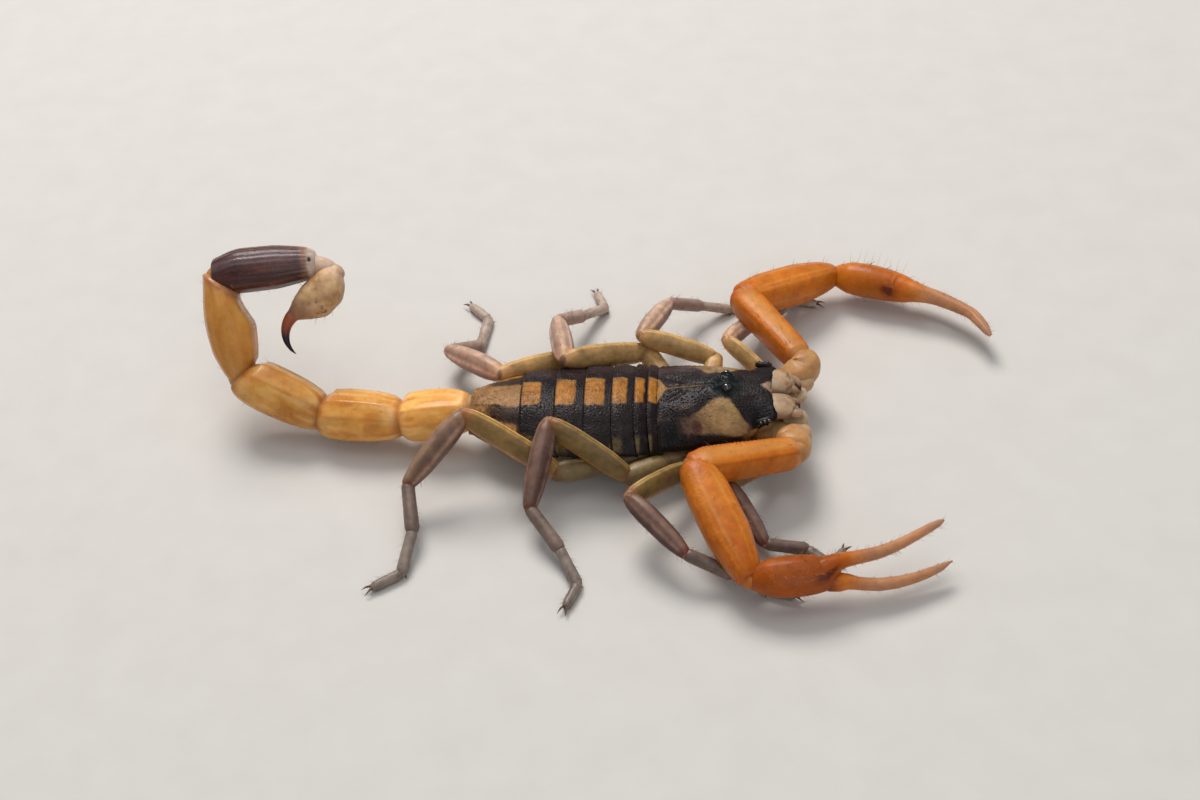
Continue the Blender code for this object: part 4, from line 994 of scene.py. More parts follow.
    # tibia, basitarsus, telotarsus, claws
    sp = Soup()
    A = podomere(pts[3] + ds[3] * r[5] * 0.05, pts[4], ((0, r[5] * .76), (.08, r[5] * .88), (.5, r[5] * .92), (.92, r[5] * .98), (1, r[5] * .84)),
                 ((0, r[5] * .74), (.08, r[5] * .96), (.5, r[5] * 1.0), (.92, r[5] * 1.0), (1, r[5] * .86)), start=0.4, end=0.5, m=28, step=0.07,
                 radial=lambda u, q: 0.02 * keel(q, [18, -18], 7) * smooth(0, 0.1, u) * smooth(1, 0.9, u))
    sp.add(A[0], A[1], leg_tint("tibia", A[2], A[3], A[0], n))
    bristles(A, 26, 0.34, 0.012, srgb(140, 108, 76), d=ds[3], uv0=next_uv(), lean=0.9)
    if n >= 3:      # tibial spur under the joint
        cone(sp, pts[4] - v3(0, 0, r[5] * 0.8), ds[3] * 0.8 + v3(0, 0, -0.5), 0.42, 0.06, srgb(110, 66, 42), sides=8, steps=5)
    A = podomere(pts[4] + ds[4] * r[6] * 0.05, pts[5], ((0, r[6] * .80), (.08, r[6] * .98), (.5, r[6] * 1.0), (.92, r[6] * 1.04), (1, r[6] * .84)),
                 ((0, r[6] * .70), (.08, r[6] * .92), (.5, r[6] * .92), (.92, r[6] * .96), (1, r[6] * .80)), start=0.4, end=0.5, m=26, step=0.07)
    sp.add(A[0], A[1], leg_tint("tarsus", A[2], A[3], A[0], n))
    bristles(A, 34, 0.34, 0.012, srgb(150, 118, 84), d=ds[4], uv0=next_uv(), lean=0.9)
    s5, u5 = frame_of(ds[4])
    for q in (-1, 1):       # pedal spurs
        cone(sp, pts[5] - u5 * r[6] * 0.7 + s5 * q * r[6] * 0.5, ds[4] * 0.7 + s5 * q * 0.5 - u5 * 0.4, 0.30, 0.045, srgb(110, 66, 42), sides=8, steps=5)
    end = pts[6] - ds[5] * 0.12
    A = podomere(pts[5] + ds[5] * r[6] * 0.05, end, ((0, r[6] * .66), (.10, r[6] * .86), (.6, r[6] * .86), (.9, r[6] * .76), (1, r[6] * .60)),
                 ((0, r[6] * .70), (.10, r[6] * .90), (.6, r[6] * .92), (.9, r[6] * .84), (1, r[6] * .66)), start=0.4, end=0.5, m=26, step=0.06)
    sp.add(A[0], A[1], leg_tint("tarsus", A[2], A[3], A[0], n))
    # two rows of stiff hairs under the foot
    s6, u6 = frame_of(ds[5])
    for j in range(14):
        for q in (-1, 1):
            f = 0.12 + 0.80 * j / 13
            root = lerp(pts[5], end, f) + s6 * q * r[6] * 0.45 - u6 * r[6] * 0.72
            dn = unit(ds[5] * 0.9 + s6 * q * 0.45 - u6 * 0.35)
            ln = min(0.26, max(0.08, (root[2] - 0.01) / max(0.05, -dn[2])))
            cone(HAIR, root, dn, ln, 0.014, srgb(150, 104, 66), uv=(0.5 + 0.01 * n, 0.86 + 0.001 * j), sides=3)
    bristles(A, 24, 0.30, 0.012, srgb(150, 118, 84), region=lambda t, a: cos(a) > -0.3, d=ds[5], uv0=next_uv(), lean=0.9)
    sp.mi = 1
    for q in (-1, 1):       # claws
        root = end + ds[5] * r[6] * 0.25 + s6 * q * r[6] * 0.30 + u6 * 0.02
        dd = unit(ds[5] + s6 * q * 0.42 + u6 * 0.10)
        cone(sp, root + u6 * 0.06, dd, 0.58, 0.075, lin(0.12, 0.045, 0.02), bend=-u6 * 0.36 - s6 * q * 0.12, sides=10, steps=9)
    cone(sp, end + ds[5] * r[6] * 0.3, ds[5] * 0.8 - u6 * 0.4, 0.18, 0.05, lin(0.12, 0.045, 0.02), sides=8, steps=5)
    sp.make("leg_%s_shank_and_foot" % tag, [M_LEG, M_CLAW], ["leg_%s_foot" % tag], "cuticle_cream")
    joint_skin(pts[4], r[5] * 0.68, r[5] * 0.68, ds[4], lin(0.30, 0.22, 0.17))
    joint_skin(pts[5], r[6] * 0.68, r[6] * 0.68, ds[5], lin(0.32, 0.25, 0.20))

# pedipalp coxae, sternum, genital lids
for side in (-1, 1):
    root = v3(PALP_ROOT[0], side * PALP_ROOT[1], PALP_ROOT[2])
    V, F, T, th = podomere(v3(9.0, side * 0.85, 1.95), root + v3(0.12, side * 0.1, 0.02), ((0, .55), (.3, .80), (.7, .90), (1, .80)),
                           ((0, .50), (.3, .72), (.7, .86), (1, .80)), end=0.4, m=36, power=2.4)
    cc = mixc(np.ones((len(V), 3)) * lin(0.36, 0.22, 0.09), lin(0.22, 0.11, 0.045), smooth(0, 0.3, fbm(V, 1.6, 75) - 0.5) * 0.6)
    COXAE.add(V, F, cc)
    # lobe that reaches forward below the chelicera
    V, F, T, th = podomere(v3(9.8, side * 0.55, 2.0), v3(11.55, side * 0.62, 2.45), ((0, .40), (.5, .46), (1, .30)),
                           ((0, .36), (.5, .40), (1, .24)), end=0.8, m=28)
    COXAE.add(V, F, srgb(200, 168, 120))
    # genital lid
    V, F = ball(v3(4.20, side * 0.34, 1.02), 0.42, (0, 0, -1), 0.45, frac=0.55)
    COXAE.add(V, F, srgb(170, 142, 100))
V, F = ball(v3(5.30, 0, 1.10), 0.52, (0, 0, -1), 0.42, frac=0.55)
COXAE.add(V, F, srgb(160, 128, 88))
COXAE.make("coxae_and_sternum", M_LEG, ["coxosternum"], "cuticle_olive")

# pectines: a blade with its row of lobes and a comb of teeth
for side, tag in ((-1, "R"), (1, "L")):
    sp = Soup()
    a, b = v3(3.15, side * 0.30, 0.84), v3(0.9, side * 1.98, 0.74)
    d = unit(b - a)
    back = unit(v3(d[1] * side, -d[0] * side, 0)) * -1.0
    back = back if back[0] < 0 else -back
    A = podomere(a, b, ((0, .26), (.3, .30), (.7, .24), (1, .14)), ((0, .16), (.5, .15), (1, .10)), m=24, step=0.06)
    sp.add(A[0], A[1], srgb(198, 166, 118))
    for j in range(17):
        f = 0.04 + 0.93 * j / 16
        root = lerp(a, b, f) + back * (0.26 - 0.10 * f)
        V, F = ball(root, 0.095, back, 0.9, m=12, n=8, frac=0.9)
        sp.add(V, F, srgb(190, 152, 104))
        tip = root + back * (0.46 - 0.12 * f) + d * 0.05
        A = podomere(root, tip, ((0, .060), (.6, .078), (1, .050)), ((0, .07), (.6, .085), (1, .05)), m=12, step=0.05, end=0.9)
        sp.add(A[0], A[1], srgb(214, 184, 140))
    sp.make("pectine_comb_" + tag, M_CREAM, ["pectine_" + tag], "cuticle_cream")


# ----------------------------------------------------------------------
# pedipalps
# ----------------------------------------------------------------------
def palp_tint(V, T, th, base=ORANGE, hi=ORANGE_HI, lo=ORANGE_DK):
    fine = fbm(V, 1.5, 80) - 0.5
    c = np.broadcast_to(base, (len(V), 3))
    c = mixc(c, hi, smooth(0.02, 0.30, fine) * 0.5)
    c = mixc(c, lo, smooth(-0.02, -0.30, fine) * 0.5)
    return c


def palp_rows(keels, amp, n_beads, length):
    def f(u, q):
        e = smooth(0.02, 0.14, u) * smooth(1.0, 0.90, u)
        k = keel(q, keels, 5.0)
        return amp * k * e * (0.70 + 0.30 * np.cos(u * 2 * pi * n_beads))
    return f


for side, tag in ((-1, "R"), (1, "L")):
    root = v3(PALP_ROOT[0], side * PALP_ROOT[1], PALP_ROOT[2])
    pts, ds = [root], []
    for (h, p), length in zip(PALP_POSE[tag], PALP_LENGTHS):
        ds.append(direction(h, p, side))
        pts.append(pts[-1] + ds[-1] * length)
    x, y, z = PALP_KNEE[tag]
    knee = v3(x, side * y, z)
    # trochanter
    ctrl = [root - unit(knee - root) * 0.3, root, knee, pts[1], pts[1] + ds[1] * 0.2]
    t = np.linspace(0, 1, 34)[:, None]
    p0, p1, p2 = ctrl[0], knee, ctrl[4]
    C = (1 - t) ** 2 * p0 + 2 * t * (1 - t) * p1 + t ** 2 * p2
    C = lerp(C, knee, 0.22 * np.sin(pi * t))
    w = curve(((0, .50), (.12, .86), (.34, 1.03), (.50, .97), (.70, 1.03), (.9, .92), (1, .45)), t[:, 0])
    V, F, T, th = tube_path(C, w, w * 0.96, 44, 2.3, radial=lambda u, q: (0.06 * keel(q, [30, 150, 210, 330], 6) * (0.75 + 0.25 * np.cos(u * 70)) - 0.02 * keel(q, [0, 90, 270], 14) * smooth(0.35, 0.6, u)) * np.sin(pi * u))
    sp = Soup().add(V, F, mixc(palp_tint(V, T, th, PEACH, lin(0.58, 0.34, 0.14), lin(0.44, 0.18, 0.05)), ORANGE, smooth(0.8, 1.0, T) * 0.4))
    # inner lobe beside the mouth
    V, F, T, th = podomere(v3(11.35, side * 2.35, 2.60), v3(12.08 if tag == "R" else 12.35, side * 2.22, 2.70), ((0, .55), (.5, .86), (1, .66)), ((0, .46), (.5, .66), (1, .52)), end=0.8, m=44, step=0.05)
    sp.add(V, F, mixc(palp_tint(V, T, th, PEACH, lin(0.56, 0.34, 0.16), lin(0.44, 0.20, 0.07)), lin(0.50, 0.36, 0.22), smooth(0.3, 1.0, T) * 0.55))
    sp.make("palp_%s_trochanter_shell" % tag, M_PALP, ["pedipalp_%s_trochanter" % tag], "cuticle_orange")
    joint_skin(pts[1], 0.70, 0.70, ds[1], lin(0.50, 0.24, 0.09))

    # femur, a four-sided prism with beaded edges
    f0 = pts[1] + ds[1] * 0.05
    A = podomere(f0, pts[2] + ds[1] * 0.1, ((0, .70), (.06, .84), (.5, .92), (.86, .99), (1, .84)),
                 ((0, .68), (.06, .84), (.5, .92), (.86, .95), (1, .80)), start=0.35, end=0.55, m=72, step=0.06, power=3.0,
                 radial=palp_rows([47, 133, 227, 313], 0.055, 26, 6))
    c = palp_tint(A[0], A[2], A[3])
    kk = keel(A[3], [47, 133, 227, 313], 6)
    c = mixc(c, ORANGE_DK, kk * 0.45)
    c = mixc(c, lin(0.62, 0.34, 0.10), smooth(0.80, 1.0, np.cos(A[3])) * 0.40)
    c = mixc(c, ORANGE_DK, smooth(0.88, 1.02, A[2]) * 0.6)
    c = mixc(c, PEACH, smooth(0.12, 0.0, A[2]) * 0.5)
    Soup().add(A[0], A[1], c).make("palp_%s_femur_shell" % tag, M_PALP, ["pedipalp_%s_femur" % tag], "cuticle_orange")
    bristles(A, 44, 0.36, 0.014, srgb(170, 110, 60), d=ds[1], uv0=next_uv(), lean=0.7)
    joint_skin(pts[2], 0.74, 0.72, ds[2], lin(0.46, 0.15, 0.03))

    # patella
    p0 = pts[2] + ds[2] * 0.02
    A = podomere(p0, pts[3] - ds[2] * 0.12, ((0, .98), (.06, 1.10), (.30, 1.29), (.55, 1.30), (.84, 1.03), (.95, .84), (1, .74)),
                 ((0, .86), (.06, .98), (.30, 1.14), (.55, 1.16), (.84, 1.00), (.95, .84), (1, .72)), start=0.4, end=0.35, m=80, step=0.06, power=2.5,
                 radial=palp_rows([38, 90, 142, 218, 270, 322], 0.042, 30, 7))
    c = palp_tint(A[0], A[2], A[3])
    kk = keel(A[3], [38, 142, 218, 322, 90, 270], 5)
    c = mixc(c, lin(0.68, 0.32, 0.08), kk * 0.28 + keel(A[3], [22, 338], 4) * 0.45 * smooth(0.05, 0.15, A[2]) * smooth(0.95, 0.85, A[2]))
    c = mixc(c, ORANGE_DK, smooth(0.10, 0.0, A[2]) * 0.5 + smooth(0.93, 1.0, A[2]) * 0.5)
    # towards the far end the patella is darkened and warmed, a little on the left; the stronger darkening on the right
    # palp is painted shade
    c = c * mixc(np.ones((len(c), 3)), lin(0.80, 0.66, 0.30), (0.75 if tag == "R" else 0.30) * smooth(0.25, 0.95, A[2]))
    Soup().add(A[0], A[1], c).make("palp_%s_patella_shell" % tag, M_PALP, ["pedipalp_%s_patella" % tag], "cuticle_orange")
    bristles(A, 60, 0.40, 0.014, srgb(176, 112, 60), d=ds[2], uv0=next_uv(), lean=0.6)
    joint_skin(pts[3], 0.56, 0.56, ds[3], lin(0.44, 0.13, 0.02))

    # chela
    d = ds[3]
    s_, u_ = frame_of(d)
    s_ = s_ if s_[1] * side > 0 else -s_
    up_ = unit(v3(0, 0, 1) - d * d[2])
    L = PALP_LENGTHS[3]
    hand = HAND_PART * L
    across = unit(s_ * 0.80 - up_ * 0.60)
    flat = unit(np.cross(d, across))
    if flat[2] < 0:
        flat = -flat
    a = pts[3]
    bow = CHELA_BOW[tag]
    fixed, moving = FINGER_PATH[tag]

    def line(t, off):
        t = np.asarray(t, float)
        return (a + np.outer(t, d) + np.outer(curve(bow, t / L), s_) + np.outer(off, across))

    # palm and fixed finger in one sweep
    tt_ = np.concatenate([np.linspace(0.02, hand + 0.2, 84), np.linspace(hand + 0.26, L + 0.02, 110)])
    slim = 1.0 if tag == "R" else 0.0
    offs = curve(((-1.0, 0), (hand - 2.4, -0.04 * slim), (hand - 1.0, -0.05 * slim), (hand - 0.5, -0.05 - 0.24 * slim), (hand + 0.1, -0.28 - 0.27 * slim), (hand + 0.8, -0.52 - 0.09 * slim)) + tuple((hand + q, o) for q, o in fixed[1:]), tt_)
    w = curve(((-0.2, .40), (0.1, .60), (0.45, .82), (1.2, 1.12 - 0.04 * slim), (2.3, 1.24 - 0.07 * slim), (3.6, 1.16 - 0.08 * slim), (hand - 0.45, 1.02 - 0.23 * slim), (hand + 0.05, 0.82 - 0.29 * slim),
               (hand + 0.7, 0.52 - 0.10 * slim), (hand + 1.3, 0.42 - 0.03 * slim), (hand + 2.2, 0.37), (hand + 3.8, 0.31), (hand + 5.2, 0.27), (L - 0.35, 0.19), (L + 0.02, 0.05)), tt_)
    h_ = curve(((-0.2, .40), (0.1, .58), (0.45, .78), (1.2, 1.03), (2.3, 1.10), (3.6, 1.02), (hand, .84), (hand + 0.7, 0.64),
                (hand + 2.0, 0.46), (hand + 3.8, 0.36), (hand + 5.2, 0.29), (L - 0.35, 0.20), (L + 0.02, 0.05)), tt_)
    C = line(tt_, offs)
    D = unit(np.gradient(C, axis=0))
    Sx = unit(np.tile(across, (len(C), 1)) - D * (D @ across)[:, None])
    Ux = unit(np.cross(Sx, D))
    Ux = np.where((Ux @ flat)[:, None] < 0, -Ux, Ux)
    V, F, T, th = sweep(C, Sx, Ux, w, h_, 80, 2.3, lambda u, q: 0.022 * keel(q, [35, 325, 145, 215], 6) * smooth(0.04, 0.12, u) * smooth(0.44, 0.36, u))
    Tm = np.concatenate([np.repeat(tt_, 80), [tt_[0], tt_[-1]]])
    c = palp_tint(V, T, th)
    c = mixc(c, lin(0.36, 0.085, 0.006), smooth(0.5, 2.5, Tm) * smooth(hand + 0.3, hand - 1.4, Tm) * 0.55)
    c = mixc(c, PINKTAN, smooth(hand + 0.2, hand + 2.2, Tm) * 0.78)
    c = mixc(c, lin(0.34, 0.20, 0.13), smooth(hand + 4.6, L, Tm) * 0.6)
    streak = fbm(np.stack([Tm * 0.9, th * 2.2, Tm * 0], -1), 1.6, 84) - 0.5
    turn_to = radians(18 if tag == "R" else 252)
    off = np.abs((th - turn_to + pi) % (2 * pi) - pi)
    # a darker red-brown patch on one side of the hand, just before the fingers
    red_brown_patch = (np.exp(-((Tm - (hand - (0.75 if tag == "R" else 0.80))) / 0.62) ** 2)
            * np.exp(-(off / radians(15 if tag == "R" else 26)) ** 2) * (0.9 + 2.4 * streak))
    glow = np.exp(-((Tm - (hand - 0.35)) / 0.85) ** 2) * np.exp(-(off / radians(50)) ** 2)
    c = mixc(c, lin(0.36, 0.055, 0.004), np.clip(glow, 0, 1) * 0.6)
    red_brown_patch_weight = np.clip(red_brown_patch * 1.15, 0, 1) * 0.9
    # painted shade: the right hand is darkened to a deep red up to the base of the fingers
    if tag == "R":
        c = mixc(c, lin(0.29, 0.054, 0.002), 0.76 * smooth(hand + 1.5, hand - 1.0, Tm))
    c = mixc(c, lin(0.10, 0.014, 0.004), red_brown_patch_weight)
    sp = Soup().add(V, F, c)
    # teeth along the inner edge of the fixed finger
    for j in range(40):
        t1 = hand + 0.75 + (L - hand - 1.05) * j / 39
        o1, w1 = float(np.interp(t1, tt_, offs)), float(np.interp(t1, tt_, w))
        q = line([t1], [o1 + w1 * 0.88])[0]
        big = j % 6 == 5
        cone(sp, q, across + d * 0.2, 0.11 if big else 0.075, 0.045 if big else 0.034, srgb(96, 44, 24), sides=6, steps=4)
    sp.make("palp_%s_hand_shell" % tag, M_PALP, ["pedipalp_%s_hand" % tag], "cuticle_orange")
    surf = (V, F, Tm, th)
    bristles(surf, 54, 0.40, 0.014, srgb(176, 112, 60), region=lambda t, q: t < hand, d=d, uv0=next_uv(), lean=0.6)
    bristles(surf, 80, 0.30, 0.012, srgb(186, 140, 96), region=lambda t, q: t > hand, d=d, uv0=next_uv(), lean=0.5)
    for j in range(9):      # long fine sensory hairs
        t1 = 0.8 + 0.42 * j
        q = line([t1], [0.0])[0] + flat * float(curve(((0.0, .6), (1.2, 1.02), (2.3, 1.09), (3.6, 1.0), (hand, .85)), t1))
        cone(HAIR, q, flat + across * rng.normal() * 0.25, 1.0, 0.011, srgb(196, 150, 100), uv=(0.7 + 0.01 * j, 0.93), sides=3, steps=5)

    # movable finger
    tm = np.linspace(hand - 0.30 - 0.65 * slim, hand + moving[-1][0] + 0.10, 120)
    om = curve(((hand - 0.35 - 0.65 * slim, 0.36 + 0.08 * slim), (hand + 0.42, moving[0][1])) + tuple((hand + q, o) for q, o in moving[1:]), tm)
    wm = curve(((hand - 0.30 - 0.65 * slim, .30), (hand - 0.1 - 0.5 * slim, .50), (hand + 0.30 - 0.4 * slim, .56 - 0.03 * slim), (hand + 0.55, .50 - 0.07 * slim), (hand + 1.0, .43 - 0.06 * slim), (hand + 2.4, .36), (hand + 4.2, .30), (hand + 5.7, .22), (hand + 6.6, .04)), tm)
    C = line(tm, om)
    D = unit(np.gradient(C, axis=0))
    Sx = unit(np.tile(across, (len(C), 1)) - D * (D @ across)[:, None])
    Ux = unit(np.cross(Sx, D))
    Ux = np.where((Ux @ flat)[:, None] < 0, -Ux, Ux)
    V, F, T, th = sweep(C, Sx, Ux, wm, wm * curve(((0, 1.25), (.15, 1.2), (.4, 1.1), (1, 1.05)), np.linspace(0, 1, 120)), 48, 2.2)
    c = palp_tint(V, T, th)
    c = mixc(c, RUST, smooth(0.16, 0.02, T) * 0.8)
    c = mixc(c, PINKTAN, smooth(0.10, 0.40, T) * 0.78)
    c = mixc(c, lin(0.34, 0.20, 0.13), smooth(0.75, 1.0, T) * 0.6)
    sp = Soup().add(V, F, c)
    for j in range(38):
        f = 0.14 + 0.80 * j / 37
        k = int(f * 119)
        q = C[k] - Sx[k] * wm[k] * 0.88
        big = j % 6 == 5
        cone(sp, q, -across + d * 0.2, 0.11 if big else 0.075, 0.045 if big else 0.034, srgb(96, 44, 24), sides=6, steps=4)
    sp.make("palp_%s_finger_shell" % tag, M_PALP, ["pedipalp_%s_finger" % tag], "cuticle_orange")
    bristles((V, F, T, th), 60, 0.30, 0.012, srgb(186, 140, 96), d=d, uv0=next_uv(), lean=0.5)

# ----------------------------------------------------------------------
# tail
# ----------------------------------------------------------------------
P = [v3(*TAIL_ROOT)]
Dt, St = [], []
for (h, p), length, lean in zip(TAIL_POSE, TAIL_LENGTHS, TAIL_LEAN):
    d = direction(h, p)
    Dt.append(d)
    P.append(P[-1] + d * length)
    s = v3(0, cos(radians(lean)), -sin(radians(lean)))
    St.append(unit(s - d * np.dot(s, d)))

RING_W = {
    0: ((0.0, .64), (.05, .76), (.15, .87), (.38, .98), (.66, 1.01), (.84, .97), (.94, .86), (1.0, .70)),
    3: ((0.0, .56), (.05, .66), (.15, .80), (.38, .99), (.58, 1.03), (.76, 1.01), (.90, .95), (1.0, .88)),
    4: ((0.0, .60), (.05, .76), (.14, .89), (.34, 1.0), (.60, .98), (.82, .84), (.94, .72), (1.0, .60)),
}
KEELS = {
    0: ([35, 325], [72, 288], [104, 256], [140, 220], [164, 196]),
    1: ([35, 325], [72, 288], [140, 220], [164, 196]),
    2: ([35, 325], [72, 288], [140, 220], [164, 196]),
    3: ([35, 325], [72, 288], [140, 220], [164, 196]),
    4: ([58, 302], [132, 228], [180]),
}
for k in range(5):
    d, s = Dt[k], St[k]
    u = np.cross(s, d)
    a, b = P[k], P[k + 1]
    L = TAIL_LENGTHS[k]
    r = TAIL_HALF[k]
    if k == 3:
        L = L - 0.94
    n = int(L / 0.05)
    start_at = 0.10 if k < 4 else 0.62
    t = np.linspace(start_at / L, 1, n)
    C = a + np.outer(t * L, d)
    S = np.tile(s, (n, 1))
    U = np.tile(u, (n, 1))
    W = curve(RING_W[k if k > 2 else 0], t) * r
    Dn = np.tile(d, (n, 1))
    if k == 3:
        # short on its inner side and tilted, where the tail turns sharply
        # into the last ring
        e_ = unit(Dt[4] - d * np.dot(d, Dt[4]))
        C = C + np.outer(curve(((0, 0), (.3, .15), (.58, .36), (.80, .52), (1, .63)), t), e_)
        nd = unit(d + Dt[4])
        Dn = unit(lerp(Dn, nd, smooth(0.30, 1.0, t)[:, None]))
    elif k == 4:
        C = C - np.outer(0.26 * smooth(0.34, 0.0, t), unit(Dt[3] - d * np.dot(d, Dt[3])))
    else:
        # gentle lean of the rings towards the next one
        Dn = unit(lerp(Dn, unit(d + Dt[k + 1]), smooth(0.78, 1.0, t)[:, None]))
    if k > 0 and k < 4:
        Dn = unit(lerp(Dn, unit(d + Dt[k - 1]), smooth(0.18, 0.0, t)[:, None]))
    S = unit(S - Dn * np.sum(S * Dn, 1, keepdims=True))
    U = np.cross(S, Dn)
    # caps
    q = np.linspace(0, pi / 2, 7)
    pre = np.stack([C[0] - d * 0.30 * cos(x_) for x_ in q[:-1]])
    Dl = unit(C[-1] - C[-2]) if k != 3 else nd
    post = np.stack([C[-1] + Dl * (0.16 if k != 3 else 0.42) * sin(x_) for x_ in q[1:]])
    kw0, kw1 = np.maximum(np.sin(q[:-1]), 0.03), np.maximum(np.cos(q[1:]), 0.03)
    CC = np.vstack([pre, C, post])
    SS = np.vstack([np.tile(S[0], (6, 1)), S, np.tile(S[-1], (6, 1))])
    UU = np.vstack([np.tile(U[0], (6, 1)), U, np.tile(U[-1], (6, 1))])
    WW = np.concatenate([W[0] * kw0, W, W[-1] * kw1])
    TT = np.concatenate([np.full(6, t[0]), t, np.full(6, 1.0)])
    KK = np.concatenate([kw0, np.ones(len(t)), kw1])
    keels = KEELS[k]

    def relief(uu, q_):
        Tq = TT[:, None] * np.ones_like(q_)
        on = smooth(0.03, 0.14, Tq) * smooth(1.0, 0.93, Tq) * (KK[:, None] ** 2)
        out = 0.0
        for j, ang in enumerate(keels):
            amp = (0.060, 0.050, 0.045, 0.040, 0.035)[j] if k < 4 else (0.040, 0.045, 0.04)[j]
            bead = 0.92 + 0.08 * np.cos(Tq * 2 * pi * L / 0.24 + j) if k < 4 else 1.0
            out = out + (0.72 if k < 4 else 1.0) * amp * keel(q_, ang, 4.6) * bead
        if k < 4:
            out = out - 0.13 * np.exp(-(np.abs((q_ + pi) % (2 * pi) - pi) / 0.38) ** 2)      # furrow along the back
            out = out - 0.035 * keel(q_, [54, 306, 120, 240], 11)
            if k < 3:      # tooth at the rear end of the back keels
                out = out + 0.08 * keel(q_, keels[0], 5) * np.exp(-((Tq - 0.90) / 0.035) ** 2)
        else:
            out = out - 0.10 * np.exp(-(np.abs((q_ + pi) % (2 * pi) - pi) / 0.30) ** 2)
            out = out + 0.012 * np.cos(q_ * 26) * smooth(0.1, 0.3, Tq)
        lip = 0.02 * np.exp(-((Tq - 0.985) / 0.012) ** 2)
        return out * on + lip * (KK[:, None] ** 2)

    V, F, uu, th = sweep(CC, SS, UU, WW, WW * 0.97, 144, 2.15, relief)
    Tv = np.concatenate([np.repeat(TT, 144), [TT[0], TT[-1]]])
    fine = fbm(V, 1.3, 90 + k) - 0.5
    kk = 0.0
    for ang in keels:
        kk = np.maximum(kk, keel(th, ang, 5))
    if k < 4:
        along = np.stack([Tv * L * 0.35, th * 1.9, np.full(len(th), k * 3.1)], -1)
        streak = fbm(along, 1.6, 95) - 0.5
        c = np.broadcast_to(TAILC, (len(V), 3))
        c = mixc(c, TAILC_HI, smooth(0.02, 0.25, streak + fine * 0.5) * 0.6)
        c = mixc(c, TAILC_DK, smooth(0.0, -0.25, streak + fine * 0.5) * 0.7)
        c = mixc(c, lin(0.50, 0.19, 0.035), kk * 0.40)
        c = mixc(c, lin(0.34, 0.11, 0.035), np.exp(-((Tv - 0.99) / 0.04) ** 2) * 0.6 + np.exp(-((Tv - 0.01) / 0.05) ** 2) * 0.5)
        c = mixc(c, lin(0.72, 0.47, 0.22), smooth(0.30, 0.0, Tv) * smooth(0.0, 0.08, Tv) * smooth(-0.06, 0.16, streak) * 0.55)
        c = mixc(c, lin(0.66, 0.42, 0.20), np.exp(-((Tv - 0.88) / 0.05) ** 2) * 0.25 * (1 - kk))
        c = c * (1.28, 1.08, 0.94, 1.0)[k]
        if k == 3:
            c = mixc(c, lin(0.50, 0.20, 0.035), 0.50)
            c = mixc(c, lin(0.15, 0.05, 0.012), np.exp(-(((th - radians(64) + pi) % (2 * pi) - pi) / 0.10) ** 2) * smooth(0.25, 0.45, Tv) * smooth(0.95, 0.8, Tv) * 0.75)
            c = mixc(c, lin(0.46, 0.22, 0.13), smooth(0.90, 1.0, Tv) * 0.5)
    else:
        along = np.stack([Tv * L * 0.2, th * 3.2, np.zeros(len(th))], -1)
        streak = fbm(along, 2.4, 97) - 0.5
        c = np.broadcast_to(MAROON, (len(V), 3))
        c = mixc(c, lin(0.13, 0.040, 0.030), smooth(0.0, 0.25, streak) * 0.8)
        c = mixc(c, lin(0.026, 0.011, 0.011), smooth(0.0, -0.25, streak) * 0.7)
        c = mixc(c, lin(0.022, 0.009, 0.010), kk * 0.7)
        c = mixc(c, lin(0.36, 0.15, 0.045), smooth(0.05, 0.0, Tv - 0.10 * smooth(0.2, -0.8, np.cos(th)) - 0.02 * fine) * 0.0)
        # painted reflection: a grey-violet band along one side of the last ring
        c = mixc(c, lin(0.15, 0.12, 0.14), np.exp(-(((th - radians(250) + pi) % (2 * pi) - pi) / 0.30) ** 2) * 0.35)
        c = mixc(c, lin(0.32, 0.16, 0.10), smooth(0.86, 0.93, Tv + fine * 0.04) * 0.8)
        c = mixc(c, WHITE, smooth(0.925, 0.965, Tv) * 0.85)
        c = mixc(c, lin(0.05, 0.012, 0.010), smooth(0.8, 0.3, np.sqrt(((Tv - 0.97) / 0.03) ** 2 + (((th - radians(262) + pi) % (2 * pi) - pi) / 0.30) ** 2)))
    Soup().add(V, F, c).make("tail_ring_%d" % (k + 1), M_TAIL if k < 4 else M_MAROON, ["metasoma_%d" % (k + 1)],
                             "cuticle_amber" if k < 4 else "cuticle_maroon")
    bristles((V, F, Tv, th), 26 if k < 4 else 40, 0.34, 0.013, srgb(176, 126, 74), region=lambda t_, q_: 0.1 < t_ < 0.95 and (k < 4 or cos(q_ - radians(227)) < 0.2), d=d, uv0=next_uv(), lean=0.6)
    if k > 0:
        if k < 4:
            joint_skin(P[k], TAIL_HALF[k] * 0.66, TAIL_HALF[k] * 0.62, d, lin(0.45, 0.22, 0.08))
        else:
            joint_skin(P[4] + d * 0.62 - unit(Dt[3] - d * np.dot(d, Dt[3])) * 0.34, 0.84, 0.86, d, lin(0.42, 0.17, 0.035), stretch=0.86)
joint_skin(P[0], 0.95, 0.95, Dt[0], lin(0.42, 0.24, 0.10))

